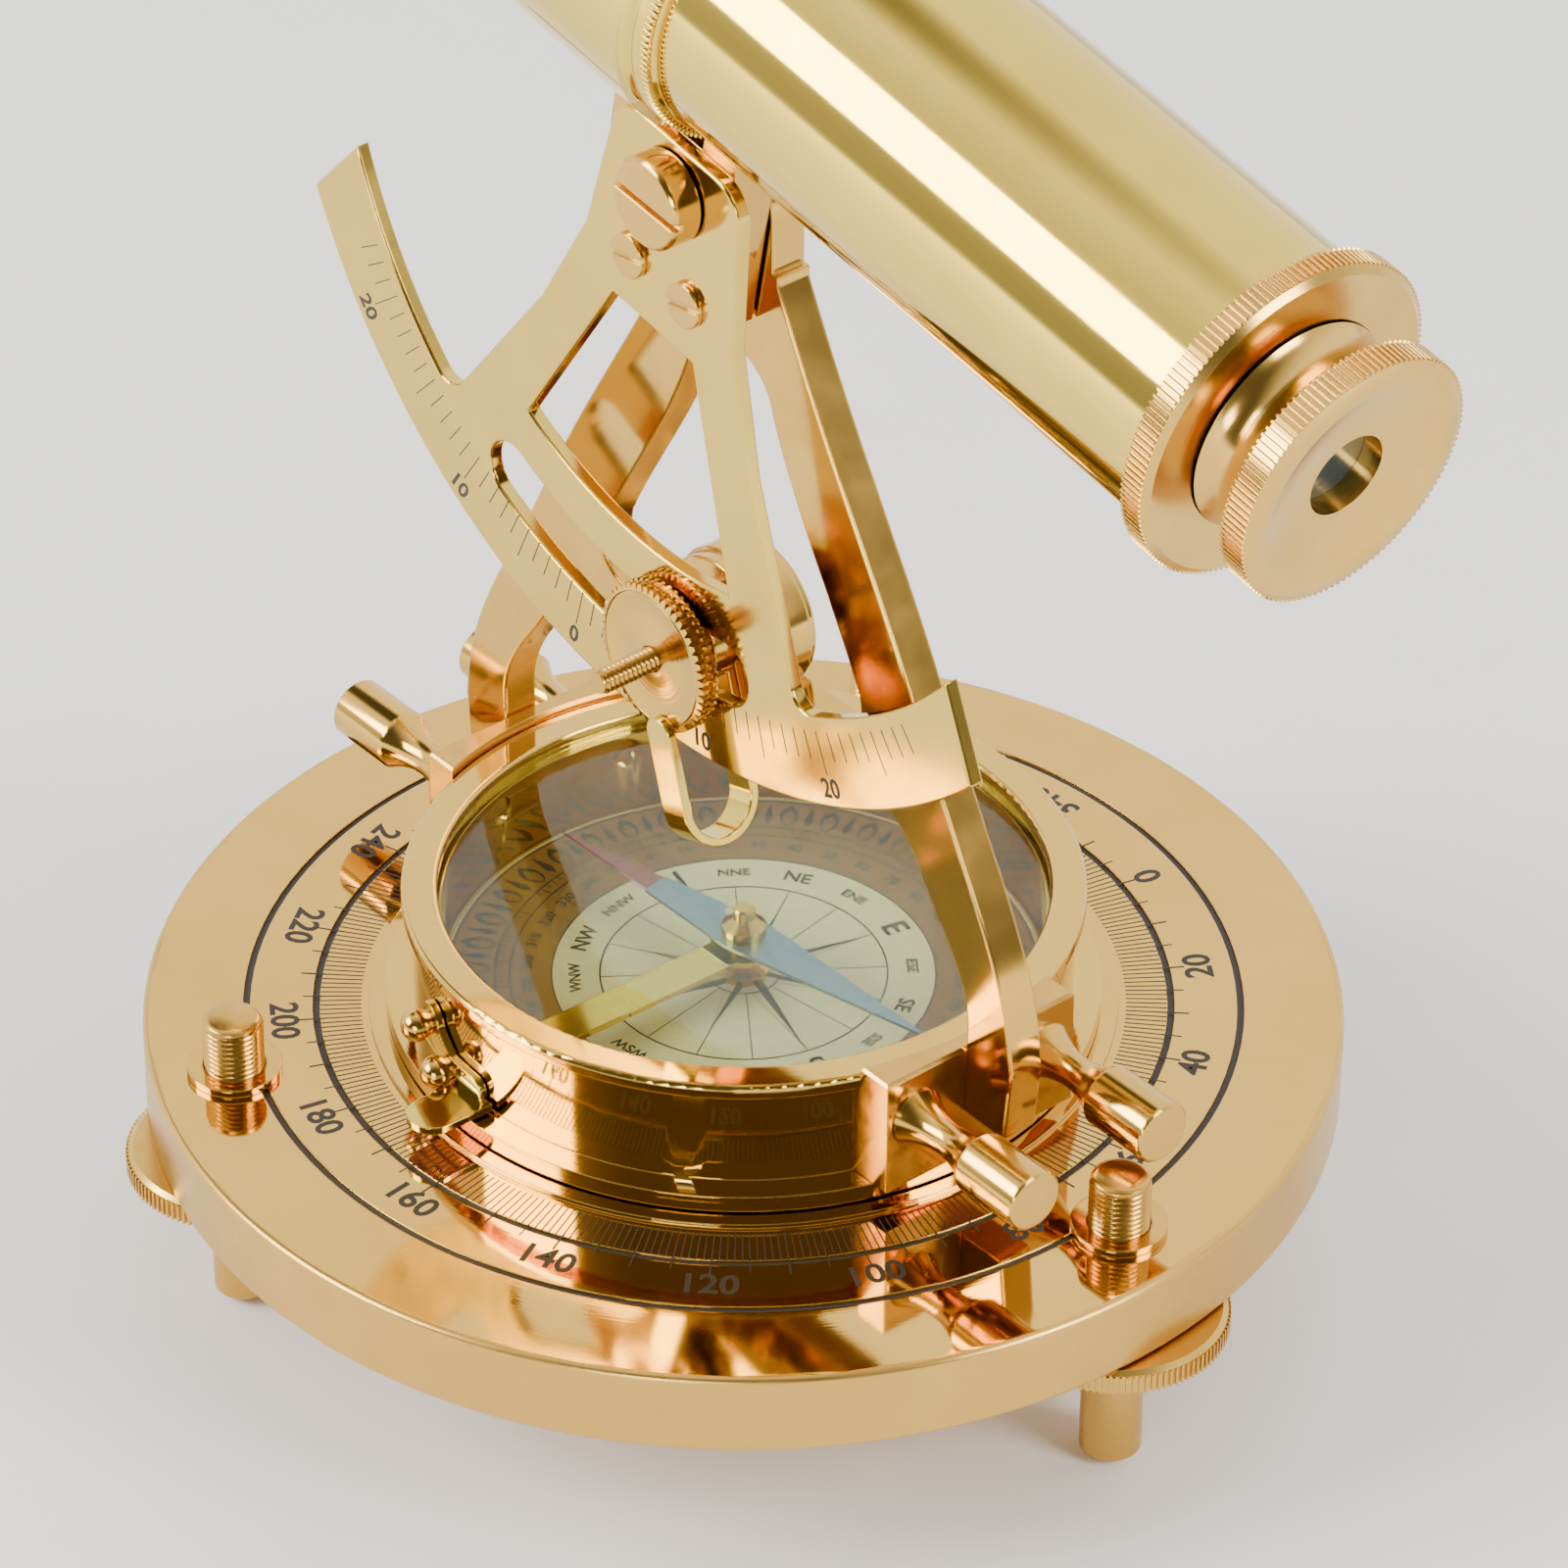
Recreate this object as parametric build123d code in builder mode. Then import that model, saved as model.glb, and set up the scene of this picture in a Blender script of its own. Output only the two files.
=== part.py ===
from build123d import *
import os
from math import asin, atan2, cos, degrees, radians, sin, sqrt

# Brass surveying sextant with a compass in its base. Millimetres, +Z up.
# Z = 0 is the ground under the feet, the Z axis is the axis that the head turns on,
# and +X is the side that the eyepiece points to. Heights called "over the deck" are
# measured up from the polished top of the base plate.

# --- Clearances ---
FIT = 0.03             # seated or soldered fit within one body, radial
RUN = 0.05             # running fit of a shaft in its bore, radial
AIR = 0.3              # space between pieces that move past each other

# --- Base plate ---
PLATE_R = 76.0
PLATE_T = 11.2
PLATE_EDGE = 0.8       # rounding of the rim
GROOVE_OUTER_R = 62.9
GROOVE_INNER_R = 54.1
GROOVE_W = 0.9
GROOVE_DEPTH = 0.4
BEARING_R = 47.4       # raised face that the head turns over
BEARING_H = 0.5
JOURNAL_R = 8.0        # spigot of the head in the plate
COUNTERBORE_R = 13.0
COUNTERBORE_DEPTH = 4.1

# --- Levelling screws ---
SCREW_CIRCLE_R = 65.5
SCREW_FIRST_DEG = 4.5
SCREW_COUNT = 3
STUD_R = 3.9
STUD_PITCH = 0.75
STUD_OVER_DECK = 8.3
BUSH_R = 6.0
BUSH_BARREL_R = 5.0
BUSH_H = 1.0
WHEEL_R = 14.2
WHEEL_T = 3.5
FOOT_L = 20.3
FOOT_TIP = 1.4         # height of the rounded foot end
FOOT_PIN_R = 1.8       # swivel pin of the foot inside its screw
FOOT_PIN_L = 9.0

# --- Compass box ---
FLANGE_R = 45.2
FLANGE_TOP = 3.0       # over the deck, as are the heights below
BOX_R = 41.75
BOX_WALL = 3.85
BOX_TOP = 16.4
BOX_FLOOR_TOP = 2.8
GLASS_SEAT = 15.5
GLASS_T = 1.35
GLASS_R = 38.9
DIAL_T = 0.6
BEZEL_R = 43.0
BEZEL_BORE_R = 38.4
BEZEL_H = 1.8
WASHER_R = 11.5
WASHER_T = 1.5
CENTRE_SCREW_R = 2.5
CENTRE_SCREW_HEAD_R = 5.5
CENTRE_SCREW_HEAD_T = 1.8
CENTRE_SCREW_DEPTH = 7.0

# --- Needle and its lifter ---
NEEDLE_Z = 9.05        # underside of the blade, over the deck
NEEDLE_T = 0.45
NEEDLE_L = 31.8        # from the pivot to either tip
NEEDLE_W = 7.2
NEEDLE_WAIST = 15.5    # where the north half narrows
NEEDLE_WAIST_W = 3.2
NEEDLE_DEG = 187.2     # direction of the north tip
CAP_R = 2.85
CAP_SKIRT_R = 2.0
CAP_SKIRT = 0.45       # length of the skirt under the blade
CAP_H = 4.0            # from the top of the blade to the top of the knob
CAP_KNOB_R = 1.4
PIVOT_POST_R = 1.5
PIVOT_BASE_R = 3.2
PIVOT_TIP_H = 11.2     # over the deck
LIFTER_Z = 7.1         # underside, over the deck, clear of the lever's pin when it is up
LIFTER_T = 0.8
LIFTER_W = 5.3
LIFTER_EYE_R = 4.2
LIFTER_DEG = 268.5
LIFTER_REACH = 36.4

# --- Needle arrest lever, outside the box ---
LEVER_PIVOT_DEG = 255.4
LEVER_PIVOT_Z = 9.2
LEVER_PIN_DEG = 262.0
LEVER_PIN_Z = 5.4
LEVER_PIN_R = 0.6
LEVER_PIN_REACH = 33.4  # radius of the inner end of the pin
LEVER_TAB_DEG = 268.8
LEVER_T = 1.0
LEVER_GAP = 0.2
LEVER_BAND_R = 1.9      # half the width of the strip
LEVER_EYE_R = 2.6
LEVER_TAB_W = 6.5
LEVER_TAB_REACH = 52.0
LEVER_SWING = 12.0      # degrees from free to arrested
BALL_R = 2.1
BALL_NECK_R = 1.6
LEVER_SHANK_R = 1.25

# --- Foot blocks and thumb screws ---
BLOCK_FACE_X = 45.3     # flat outer face
BLOCK_HALF_W = 15.0
BLOCK_RISE = 1.2        # above the bezel
THUMB_Y = 10.3
THUMB_Z = 12.8
THUMB_SHANK_R = 2.0
THUMB_R = 4.05
THUMB_BASE_R = 3.9
THUMB_WAIST_R = 2.2
THUMB_L = 21.8          # from the block to the outer end
THUMB_HEAD_L = 9.9
THUMB_WAIST_AT = 6.5

# --- A-frame ---
FRAME_T = 5.0
FRAME_FOOT_W = 7.2
FRAME_FOOT_Z = 9.5
FRAME_FOOT_TOP = 22.0
PIVOT_OVER_DECK = 121.7
FRAME_HEAD_R = 7.9
FRAME_HEAD_DROP = 3.6   # centre of the rounded head, below the pivot
ARCH_DROP = 23.7        # top of the arch, below the pivot
ARCH_R = 8.0
WEB_UNDER = 5.2         # from the clamp rod down to the top of the web
WEB_H = 6.5
BOSS_R = 10.0
BOSS_FRONT = 2.0        # how far the boss stands out in front
BOSS_BACK = 1.0

# --- Clamp rod, nut and index strip ---
ROD_UNDER_SLOT = 0.85   # from the middle of the slot down to the rod
ROD_R = 1.7
ROD_END_Y = -23.0
NUT_R = 9.8
NUT_T = 3.0
NUT_GAP = 0.6
SPACER_R = 5.4
STRIP_W = 4.5
STRIP_T = 1.2
STRIP_LEAN = 17.0       # degrees
STRIP_DROP = 26.0       # from the rod to the bottom of the bend
STRIP_FRONT_RISE = 16.3

# --- Arc plate, in the telescope's own level frame, about the pivot ---
ARC_FRONT_Y = -11.2
ARC_T = 1.9
ARC_R = 77.3
RIM_W = 11.8
HORN_OUTER_DEG = 55.6
HORN_INNER_DEG = 60.0
SLOT_IN = 18.3          # from the rim in to the slot's inner side
SLOT_OUT = 10.0         # and to its outer side
SLOT_HALF_DEG = 23.3
WINDOW_IN = 25.3
WINDOW_TOP = 20.5
WINDOW_TOP_W = 15.0
WINDOW_HALF_DEG = 22.0
ARC_HEAD_TOP = 7.0
ARC_HEAD_W = 24.0
LUG_LEFT = 14.0
LUG_RIGHT = 8.0
LUG_BOTTOM = 17.0
LUG_SCREW_X = 5.3
LUG_SCREW_DROP = 13.0
LUG_SCREW_R = 1.5
LUG_SCREW_HEAD_R = 2.9
LUG_SCREW_HEAD_T = 0.8
PIVOT_R = 2.5
PIVOT_HEAD_R = 5.85
PIVOT_HEAD_T = 4.0
PIVOT_NUT_R = 5.6
PIVOT_NUT_T = 3.2
DRIVER_SLOT_W = 0.9
PIVOT_SLOT_DEG = -8.0
LUG_SLOT_W = 0.8 * DRIVER_SLOT_W
LUG_SLOT_DEG = 20.0
DRIVER_SLOT_DEPTH = 1.1

# --- Telescope ---
TILT = 10.64            # degrees, eyepiece down at rest
AXIS_UP = 25.9          # from the pivot to the optical axis
TUBE_R = 18.3
TUBE_WALL = 1.5
TUBE_END = 84.5         # along the axis from the pivot, as are the stations below
TUBE_START = -14.0
BODY_R = 20.95          # wide front tube
BEAD_R = 19.7
BEAD_L = 3.5
BODY_END = -1.5
COLLAR_R = 20.5
COLLAR_L = 4.0
DRAW_R = 11.0           # focusing draw tube
DRAW_WALL = 1.0
DRAW_BACK = 24.0        # length of draw tube inside the collar
NECK_R = 13.4
NECK_WAIST_R = 12.0
NECK_L = 6.7
EYE_CAP_R = 16.0
EYE_CAP_L = 4.5
EYE_HOLE_R = 5.2
EYE_DISH = 1.6
EYE_LENS_T = 2.4
OBJECTIVE_R = 17.6
OBJECTIVE_T = 4.0
OBJECTIVE_SET_BACK = 6.0
RETAINER_T = 1.5
RETAINER_BORE_R = 16.4
RETICLE_AT = 52.0
RETICLE_T = 3.0
RETICLE_BORE_R = 9.0

# --- Worked out from the above ---
PLATE_Z = FOOT_L + WHEEL_T + AIR
DECK = PLATE_Z + PLATE_T
RIM_INNER_R = ARC_R - RIM_W
SLOT_INNER_R = ARC_R - SLOT_IN
SLOT_OUTER_R = ARC_R - SLOT_OUT
SLOT_R = (SLOT_INNER_R + SLOT_OUTER_R) / 2
SLOT_W = SLOT_OUTER_R - SLOT_INNER_R
WINDOW_R = ARC_R - WINDOW_IN
CLAMP_DROP = SLOT_R + ROD_UNDER_SLOT
WEB_TOP = PIVOT_OVER_DECK - CLAMP_DROP - WEB_UNDER
WEB_BOTTOM = WEB_TOP - WEB_H
ARCH_TOP = PIVOT_OVER_DECK - ARCH_DROP
BLOCK_TOP = BOX_TOP + BEZEL_H + BLOCK_RISE
HEAD_Z = DECK + BEARING_H + AIR
PIVOT_Z = DECK + PIVOT_OVER_DECK
CLAMP_Z = PIVOT_Z - CLAMP_DROP
BOX_BORE_R = BOX_R - BOX_WALL
JOURNAL_END = PLATE_Z + COUNTERBORE_DEPTH - AIR
BUSH_BORE_R = STUD_R + RUN
FRAME_HALF_T = FRAME_T / 2
LUG_BACK_Y = -FRAME_HALF_T - AIR
ARC_BACK_Y = ARC_FRONT_Y + ARC_T
PIVOT_HEAD_Y = ARC_FRONT_Y - AIR
NUT_BACK_Y = ARC_FRONT_Y - NUT_GAP
STRIP_BACK_Y = -FRAME_HALF_T - BOSS_FRONT
STRIP_FRONT_Y = NUT_BACK_Y - NUT_T
DRAW_START = TUBE_END - DRAW_BACK
NECK_START = TUBE_END + COLLAR_L + AIR
EYE_CAP_START = NECK_START + NECK_L
EYE_END = EYE_CAP_START + EYE_CAP_L
# The front tube reaches as far to -X as the eyepiece reaches to +X.
EYE_REACH = EYE_END * cos(radians(TILT)) + (AXIS_UP + EYE_CAP_R) * sin(radians(TILT))
BODY_START = -(EYE_REACH + (AXIS_UP - BODY_R) * sin(radians(TILT))) / cos(radians(TILT))

# --- Planes and axes of the tilted telescope ---
ALONG = Vector(cos(radians(TILT)), 0, -sin(radians(TILT)))
UPRIGHT = Vector(sin(radians(TILT)), 0, cos(radians(TILT)))
OPTICAL_AXIS = Axis(Vector(0, 0, PIVOT_Z) + UPRIGHT * AXIS_UP, ALONG)


def tilted(y):
    """Upright plane in the telescope's frame: x towards the eyepiece, facing -Y."""
    return Plane(origin=(0, y, PIVOT_Z), x_dir=ALONG, z_dir=(0, -1, 0))


def across(station):
    """Plane across the telescope at a station of its axis."""
    return Plane(origin=OPTICAL_AXIS.position + ALONG * station, x_dir=(0, 1, 0), z_dir=ALONG)


def radial(angle, reach, z):
    """Plane facing outwards at an angle round the Z axis, x going round."""
    facing = Vector(cos(radians(angle)), sin(radians(angle)), 0)
    return Plane(origin=facing * reach + Vector(0, 0, z), x_dir=facing.rotate(Axis.Z, 90), z_dir=facing)


def upright(y):
    """Upright plane that faces -Y, with its origin on the Z axis at the deck."""
    return Plane(origin=(0, y, DECK), x_dir=(1, 0, 0), z_dir=(0, -1, 0))


def outline(plane, *points):
    """Closed face with straight sides."""
    with BuildSketch(plane) as sketch:
        with BuildLine():
            Polyline(*points, close=True)
        make_face()
    return sketch.sketch


def disc(plane, radius, at=(0, 0)):
    """Round face."""
    with BuildSketch(plane) as sketch:
        with Locations(at):
            Circle(radius)
    return sketch.sketch


def bar(plane, width, height, at=(0, 0), angle=0):
    """Rectangular face about a centre."""
    with BuildSketch(plane) as sketch:
        with Locations(Location((*at, 0), angle)):
            Rectangle(width, height)
    return sketch.sketch


def scope_ring(outer, inner, start, end):
    """Plain ring on the optical axis, as the section that is turned."""
    low, high = AXIS_UP + inner, AXIS_UP + outer
    return outline(tilted(0), (start, low), (end, low), (end, high), (start, high))


def save(builder, name):
    """Label a finished piece and write it."""
    builder.part.label = name
    export_step(builder.part, f"parts/{name}.step")


os.makedirs("parts", exist_ok=True)

# ------------------------------------------------------------------ base
SCREW_DEGS = [SCREW_FIRST_DEG + 360 / SCREW_COUNT * i for i in range(SCREW_COUNT)]
SCREW_SPOTS = [
    (SCREW_CIRCLE_R * cos(radians(a)), SCREW_CIRCLE_R * sin(radians(a))) for a in SCREW_DEGS
]

with BuildPart() as base_plate:
    with BuildSketch(Plane.XZ) as plate_section:
        with BuildLine():
            Polyline(
                (JOURNAL_R + RUN, DECK + BEARING_H),
                (JOURNAL_R + RUN, PLATE_Z + COUNTERBORE_DEPTH),
                (COUNTERBORE_R, PLATE_Z + COUNTERBORE_DEPTH),
                (COUNTERBORE_R, PLATE_Z),
                (PLATE_R, PLATE_Z),
                (PLATE_R, DECK),
                (BEARING_R, DECK),
                (BEARING_R, DECK + BEARING_H),
                close=True,
            )
        make_face()
        rim = plate_section.vertices().filter_by_position(Axis.X, PLATE_R - 0.01, PLATE_R + 0.01)
        fillet(rim, PLATE_EDGE)
    revolve(axis=Axis.Z)
    with BuildSketch(Plane.XY.offset(DECK)):
        for groove_r in (GROOVE_OUTER_R, GROOVE_INNER_R):
            Circle(groove_r + GROOVE_W / 2)
            Circle(groove_r - GROOVE_W / 2, mode=Mode.SUBTRACT)
    extrude(amount=-GROOVE_DEPTH, mode=Mode.SUBTRACT)
    with BuildSketch(Plane.XY.offset(PLATE_Z)):
        with Locations(*SCREW_SPOTS):
            Circle(BUSH_BARREL_R + FIT)
    extrude(amount=PLATE_T, mode=Mode.SUBTRACT)
save(base_plate, "base_plate")

with BuildPart() as levelling_bushes:
    with BuildSketch(Plane.XY.offset(PLATE_Z)):
        with Locations(*SCREW_SPOTS):
            Circle(BUSH_BARREL_R)
    extrude(amount=PLATE_T)
    with BuildSketch(Plane.XY.offset(DECK)):
        with Locations(*SCREW_SPOTS):
            Circle(BUSH_R)
    extrude(amount=BUSH_H)
    with BuildSketch(Plane.XY.offset(PLATE_Z)):
        with Locations(*SCREW_SPOTS):
            Circle(BUSH_BORE_R)
    extrude(amount=PLATE_T + BUSH_H, mode=Mode.SUBTRACT)
save(levelling_bushes, "levelling_bushes")

# ------------------------------------------------------------------ levelling screws
for number, (spot_x, spot_y) in enumerate(SCREW_SPOTS, start=1):
    spot_plane = Plane(origin=(spot_x, spot_y, 0), x_dir=(1, 0, 0), z_dir=(0, -1, 0))
    spot_axis = Axis((spot_x, spot_y, 0), (0, 0, 1))
    stud_top = DECK + STUD_OVER_DECK
    pin_hole_top = FOOT_L + FOOT_PIN_L

    with BuildPart() as foot:
        with BuildSketch(spot_plane):
            with BuildLine():
                Polyline(
                    (STUD_R, FOOT_TIP),
                    (STUD_R, FOOT_L - AIR),
                    (FOOT_PIN_R, FOOT_L - AIR),
                    (FOOT_PIN_R, pin_hole_top - AIR),
                    (0, pin_hole_top - AIR),
                    (0, 0),
                    (STUD_R / 3, 0),
                )
                SagittaArc((STUD_R / 3, 0), (STUD_R, FOOT_TIP), -FOOT_TIP / 4)
            make_face()
        revolve(axis=spot_axis)
    save(foot, f"levelling_foot_{number}")

    with BuildPart() as stud:
        with BuildSketch(spot_plane):
            with BuildLine():
                Polyline(
                    (FOOT_PIN_R + RUN, FOOT_L),
                    (STUD_R, FOOT_L),
                    (STUD_R, stud_top - STUD_PITCH),
                    (STUD_R - STUD_PITCH, stud_top),
                    (0, stud_top),
                    (0, pin_hole_top),
                    (FOOT_PIN_R + RUN, pin_hole_top),
                    close=True,
                )
            make_face()
        revolve(axis=spot_axis)
    save(stud, f"levelling_screw_{number}")

    with BuildPart() as wheel:
        with BuildSketch(Plane.XY.offset(FOOT_L)):
            with Locations((spot_x, spot_y)):
                Circle(WHEEL_R)
                Circle(STUD_R + FIT, mode=Mode.SUBTRACT)
        extrude(amount=WHEEL_T)
        chamfer(wheel.edges().filter_by(GeomType.CIRCLE).group_by(SortBy.RADIUS)[-1], length=0.4)
    save(wheel, f"levelling_wheel_{number}")

# ------------------------------------------------------------------ compass box
THUMB_SPOTS = [(side, y) for side in (1, -1) for y in (THUMB_Y, -THUMB_Y)]


def thumb_plane(side, y, x):
    """Plane across a thumb screw, facing outwards, at a distance from the Z axis."""
    return Plane(origin=(side * x, y, DECK + THUMB_Z), x_dir=(0, side, 0), z_dir=(side, 0, 0))


LEVER_SWEEP = radians(LEVER_SWING)
LEVER_ARM = BOX_R * sin(radians(LEVER_PIN_DEG - LEVER_PIVOT_DEG))
LEVER_DROP = LEVER_PIVOT_Z - LEVER_PIN_Z
PIN_SIDE_TRAVEL = LEVER_ARM * (cos(LEVER_SWEEP) - 1) + LEVER_DROP * sin(LEVER_SWEEP)
PIN_RISE = LEVER_DROP * (1 - cos(LEVER_SWEEP)) + LEVER_ARM * sin(LEVER_SWEEP)
CENTRE_BORE_TOP = JOURNAL_END + CENTRE_SCREW_DEPTH + AIR
PIVOT_STEM_R = 1.0
PIVOT_STEM_L = 1.6

with BuildPart() as compass_box:
    box_section = outline(
        Plane.XZ,
        (0, DECK + BOX_FLOOR_TOP),
        (0, CENTRE_BORE_TOP),
        (CENTRE_SCREW_R + RUN, CENTRE_BORE_TOP),
        (CENTRE_SCREW_R + RUN, JOURNAL_END),
        (JOURNAL_R, JOURNAL_END),
        (JOURNAL_R, HEAD_Z),
        (FLANGE_R, HEAD_Z),
        (FLANGE_R, DECK + FLANGE_TOP),
        (BOX_R, DECK + FLANGE_TOP),
        (BOX_R, DECK + BOX_TOP),
        (GLASS_R + FIT, DECK + BOX_TOP),
        (GLASS_R + FIT, DECK + GLASS_SEAT),
        (BOX_BORE_R, DECK + GLASS_SEAT),
        (BOX_BORE_R, DECK + BOX_FLOOR_TOP),
    )
    revolve(box_section, axis=Axis.Z)
    for side, y in THUMB_SPOTS:
        bore_face = disc(thumb_plane(side, y, BOX_BORE_R - BOX_WALL), THUMB_SHANK_R + RUN)
        extrude(bore_face, amount=2 * BOX_WALL, mode=Mode.SUBTRACT)
    lever_bore = disc(radial(LEVER_PIVOT_DEG, BOX_BORE_R - 1, DECK + LEVER_PIVOT_Z), LEVER_SHANK_R + FIT)
    extrude(lever_bore, amount=BOX_WALL + 2, mode=Mode.SUBTRACT)
    pin_slot = bar(
        radial(LEVER_PIN_DEG, BOX_BORE_R - 1, DECK + LEVER_PIN_Z),
        2 * (LEVER_PIN_R + AIR) + PIN_SIDE_TRAVEL,
        2 * (LEVER_PIN_R + AIR) + PIN_RISE,
        at=(PIN_SIDE_TRAVEL / 2, PIN_RISE / 2),
    )
    extrude(pin_slot, amount=BOX_WALL + 2, mode=Mode.SUBTRACT)
    stem_hole = disc(Plane.XY.offset(DECK + BOX_FLOOR_TOP), PIVOT_STEM_R + FIT)
    extrude(stem_hole, amount=-PIVOT_STEM_L, mode=Mode.SUBTRACT)
save(compass_box, "compass_box")

with BuildPart() as centre_washer:
    washer_face = Plane.XY.offset(JOURNAL_END - WASHER_T)
    extrude(disc(washer_face, WASHER_R), amount=WASHER_T)
    extrude(disc(washer_face, CENTRE_SCREW_R + RUN), amount=WASHER_T, mode=Mode.SUBTRACT)
save(centre_washer, "centre_washer")

with BuildPart() as centre_screw:
    head_plane = Plane.XY.offset(JOURNAL_END - WASHER_T - CENTRE_SCREW_HEAD_T)
    extrude(disc(head_plane, CENTRE_SCREW_HEAD_R), amount=CENTRE_SCREW_HEAD_T)
    shank_l = CENTRE_SCREW_HEAD_T + WASHER_T + CENTRE_SCREW_DEPTH
    extrude(disc(head_plane, CENTRE_SCREW_R), amount=shank_l)
    slot = bar(head_plane, 3 * CENTRE_SCREW_HEAD_R, DRIVER_SLOT_W)
    extrude(slot, amount=DRIVER_SLOT_DEPTH, mode=Mode.SUBTRACT)
save(centre_screw, "centre_screw")

DIAL_TOP = BOX_FLOOR_TOP + DIAL_T

with BuildPart() as compass_dial:
    dial_face = Plane.XY.offset(DECK + BOX_FLOOR_TOP)
    extrude(disc(dial_face, BOX_BORE_R - 2 * FIT), amount=DIAL_T)
    extrude(disc(dial_face, PIVOT_STEM_R + FIT), amount=DIAL_T, mode=Mode.SUBTRACT)
save(compass_dial, "compass_dial")

with BuildPart() as compass_glass:
    extrude(disc(Plane.XY.offset(DECK + GLASS_SEAT), GLASS_R), amount=GLASS_T)
save(compass_glass, "compass_glass")

BEZEL_RECESS_TOP = GLASS_SEAT + GLASS_T + FIT
BEZEL_TOP = BOX_TOP + BEZEL_H

with BuildPart() as compass_bezel:
    with BuildSketch(Plane.XZ) as bezel_section:
        with BuildLine():
            Polyline(
                (GLASS_R + FIT, DECK + BOX_TOP),
                (BEZEL_R, DECK + BOX_TOP),
                (BEZEL_R, DECK + BEZEL_TOP),
                (BEZEL_BORE_R, DECK + BEZEL_TOP),
                (BEZEL_BORE_R, DECK + BEZEL_RECESS_TOP),
                (GLASS_R + FIT, DECK + BEZEL_RECESS_TOP),
                close=True,
            )
        make_face()
        lip = bezel_section.vertices().group_by(Axis.Y)[-1]
        fillet(lip, BEZEL_H / 3)
    revolve(axis=Axis.Z)
save(compass_bezel, "compass_bezel")

# ------------------------------------------------------------------ needle
CAP_BOTTOM = NEEDLE_Z - CAP_SKIRT
CAP_SHOULDER = NEEDLE_Z + NEEDLE_T
CAP_TOP = CAP_SHOULDER + CAP_H
SOCKET_TOP = PIVOT_TIP_H + AIR
SOCKET_MOUTH_R = 1.4
SOCKET_TOP_R = 0.4

with BuildPart() as needle_pivot:
    pivot_section = outline(
        Plane.XZ,
        (0, DECK + BOX_FLOOR_TOP - PIVOT_STEM_L),
        (PIVOT_STEM_R, DECK + BOX_FLOOR_TOP - PIVOT_STEM_L),
        (PIVOT_STEM_R, DECK + DIAL_TOP),
        (PIVOT_BASE_R, DECK + DIAL_TOP),
        (PIVOT_BASE_R, DECK + DIAL_TOP + 0.8),
        (PIVOT_POST_R, DECK + DIAL_TOP + 1.2),
        (PIVOT_POST_R, DECK + LIFTER_Z - AIR),
        (PIVOT_POST_R / 2, DECK + LIFTER_Z),
        (0.15, DECK + PIVOT_TIP_H),
        (0, DECK + PIVOT_TIP_H),
    )
    revolve(pivot_section, axis=Axis.Z)
save(needle_pivot, "needle_pivot")

with BuildPart() as needle_blade:
    needle_plane = Plane(
        origin=(0, 0, DECK + NEEDLE_Z),
        x_dir=(cos(radians(NEEDLE_DEG)), sin(radians(NEEDLE_DEG)), 0),
        z_dir=(0, 0, 1),
    )
    shoulder = NEEDLE_W / 2 * (1 - NEEDLE_WAIST / NEEDLE_L)
    blade_outline = outline(
        needle_plane,
        (-NEEDLE_L, 0),
        (0, NEEDLE_W / 2),
        (NEEDLE_WAIST, shoulder),
        (NEEDLE_WAIST, NEEDLE_WAIST_W / 2),
        (NEEDLE_L, 0),
        (NEEDLE_WAIST, -NEEDLE_WAIST_W / 2),
        (NEEDLE_WAIST, -shoulder),
        (0, -NEEDLE_W / 2),
    )
    extrude(blade_outline, amount=NEEDLE_T)
    extrude(disc(needle_plane, CAP_SKIRT_R + FIT), amount=NEEDLE_T, mode=Mode.SUBTRACT)
save(needle_blade, "needle_blade")

with BuildPart() as needle_cap:
    cap_section = outline(
        Plane.XZ,
        (SOCKET_MOUTH_R, DECK + CAP_BOTTOM),
        (CAP_SKIRT_R, DECK + CAP_BOTTOM),
        (CAP_SKIRT_R, DECK + CAP_SHOULDER),
        (CAP_R, DECK + CAP_SHOULDER),
        (CAP_R, DECK + CAP_SHOULDER + CAP_H * 0.35),
        (CAP_KNOB_R, DECK + CAP_SHOULDER + CAP_H * 0.62),
        (CAP_KNOB_R, DECK + CAP_TOP - 0.3),
        (CAP_KNOB_R - 0.3, DECK + CAP_TOP),
        (0, DECK + CAP_TOP),
        (0, DECK + SOCKET_TOP),
        (SOCKET_TOP_R, DECK + SOCKET_TOP),
    )
    revolve(cap_section, axis=Axis.Z)
save(needle_cap, "needle_cap")

with BuildPart() as needle_lifter:
    lifter_plane = Plane(
        origin=(0, 0, DECK + LIFTER_Z),
        x_dir=(cos(radians(LIFTER_DEG)), sin(radians(LIFTER_DEG)), 0),
        z_dir=(0, 0, 1),
    )
    pin_offset = LEVER_PIN_REACH * sin(radians(LEVER_PIN_DEG - LIFTER_DEG))
    ear_w = LIFTER_W / 2 - pin_offset + 2 * LEVER_PIN_R
    with BuildSketch(lifter_plane):
        Circle(LIFTER_EYE_R)
        with Locations((LIFTER_REACH / 2, 0)):
            Rectangle(LIFTER_REACH, LIFTER_W)
        with Locations((LEVER_PIN_REACH + (LIFTER_REACH - LEVER_PIN_REACH) / 2, (LIFTER_W - ear_w) / 2)):
            Rectangle(LIFTER_REACH - LEVER_PIN_REACH, ear_w)
        Circle(PIVOT_POST_R + AIR, mode=Mode.SUBTRACT)
    extrude(amount=LIFTER_T)
save(needle_lifter, "needle_lifter")

# ------------------------------------------------------------------ arrest lever
LEVER_IN_R = BOX_R + LEVER_GAP
LEVER_OUT_R = LEVER_IN_R + LEVER_T
LEVER_TAB_Z = FLANGE_TOP + AIR + 0.1


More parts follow.
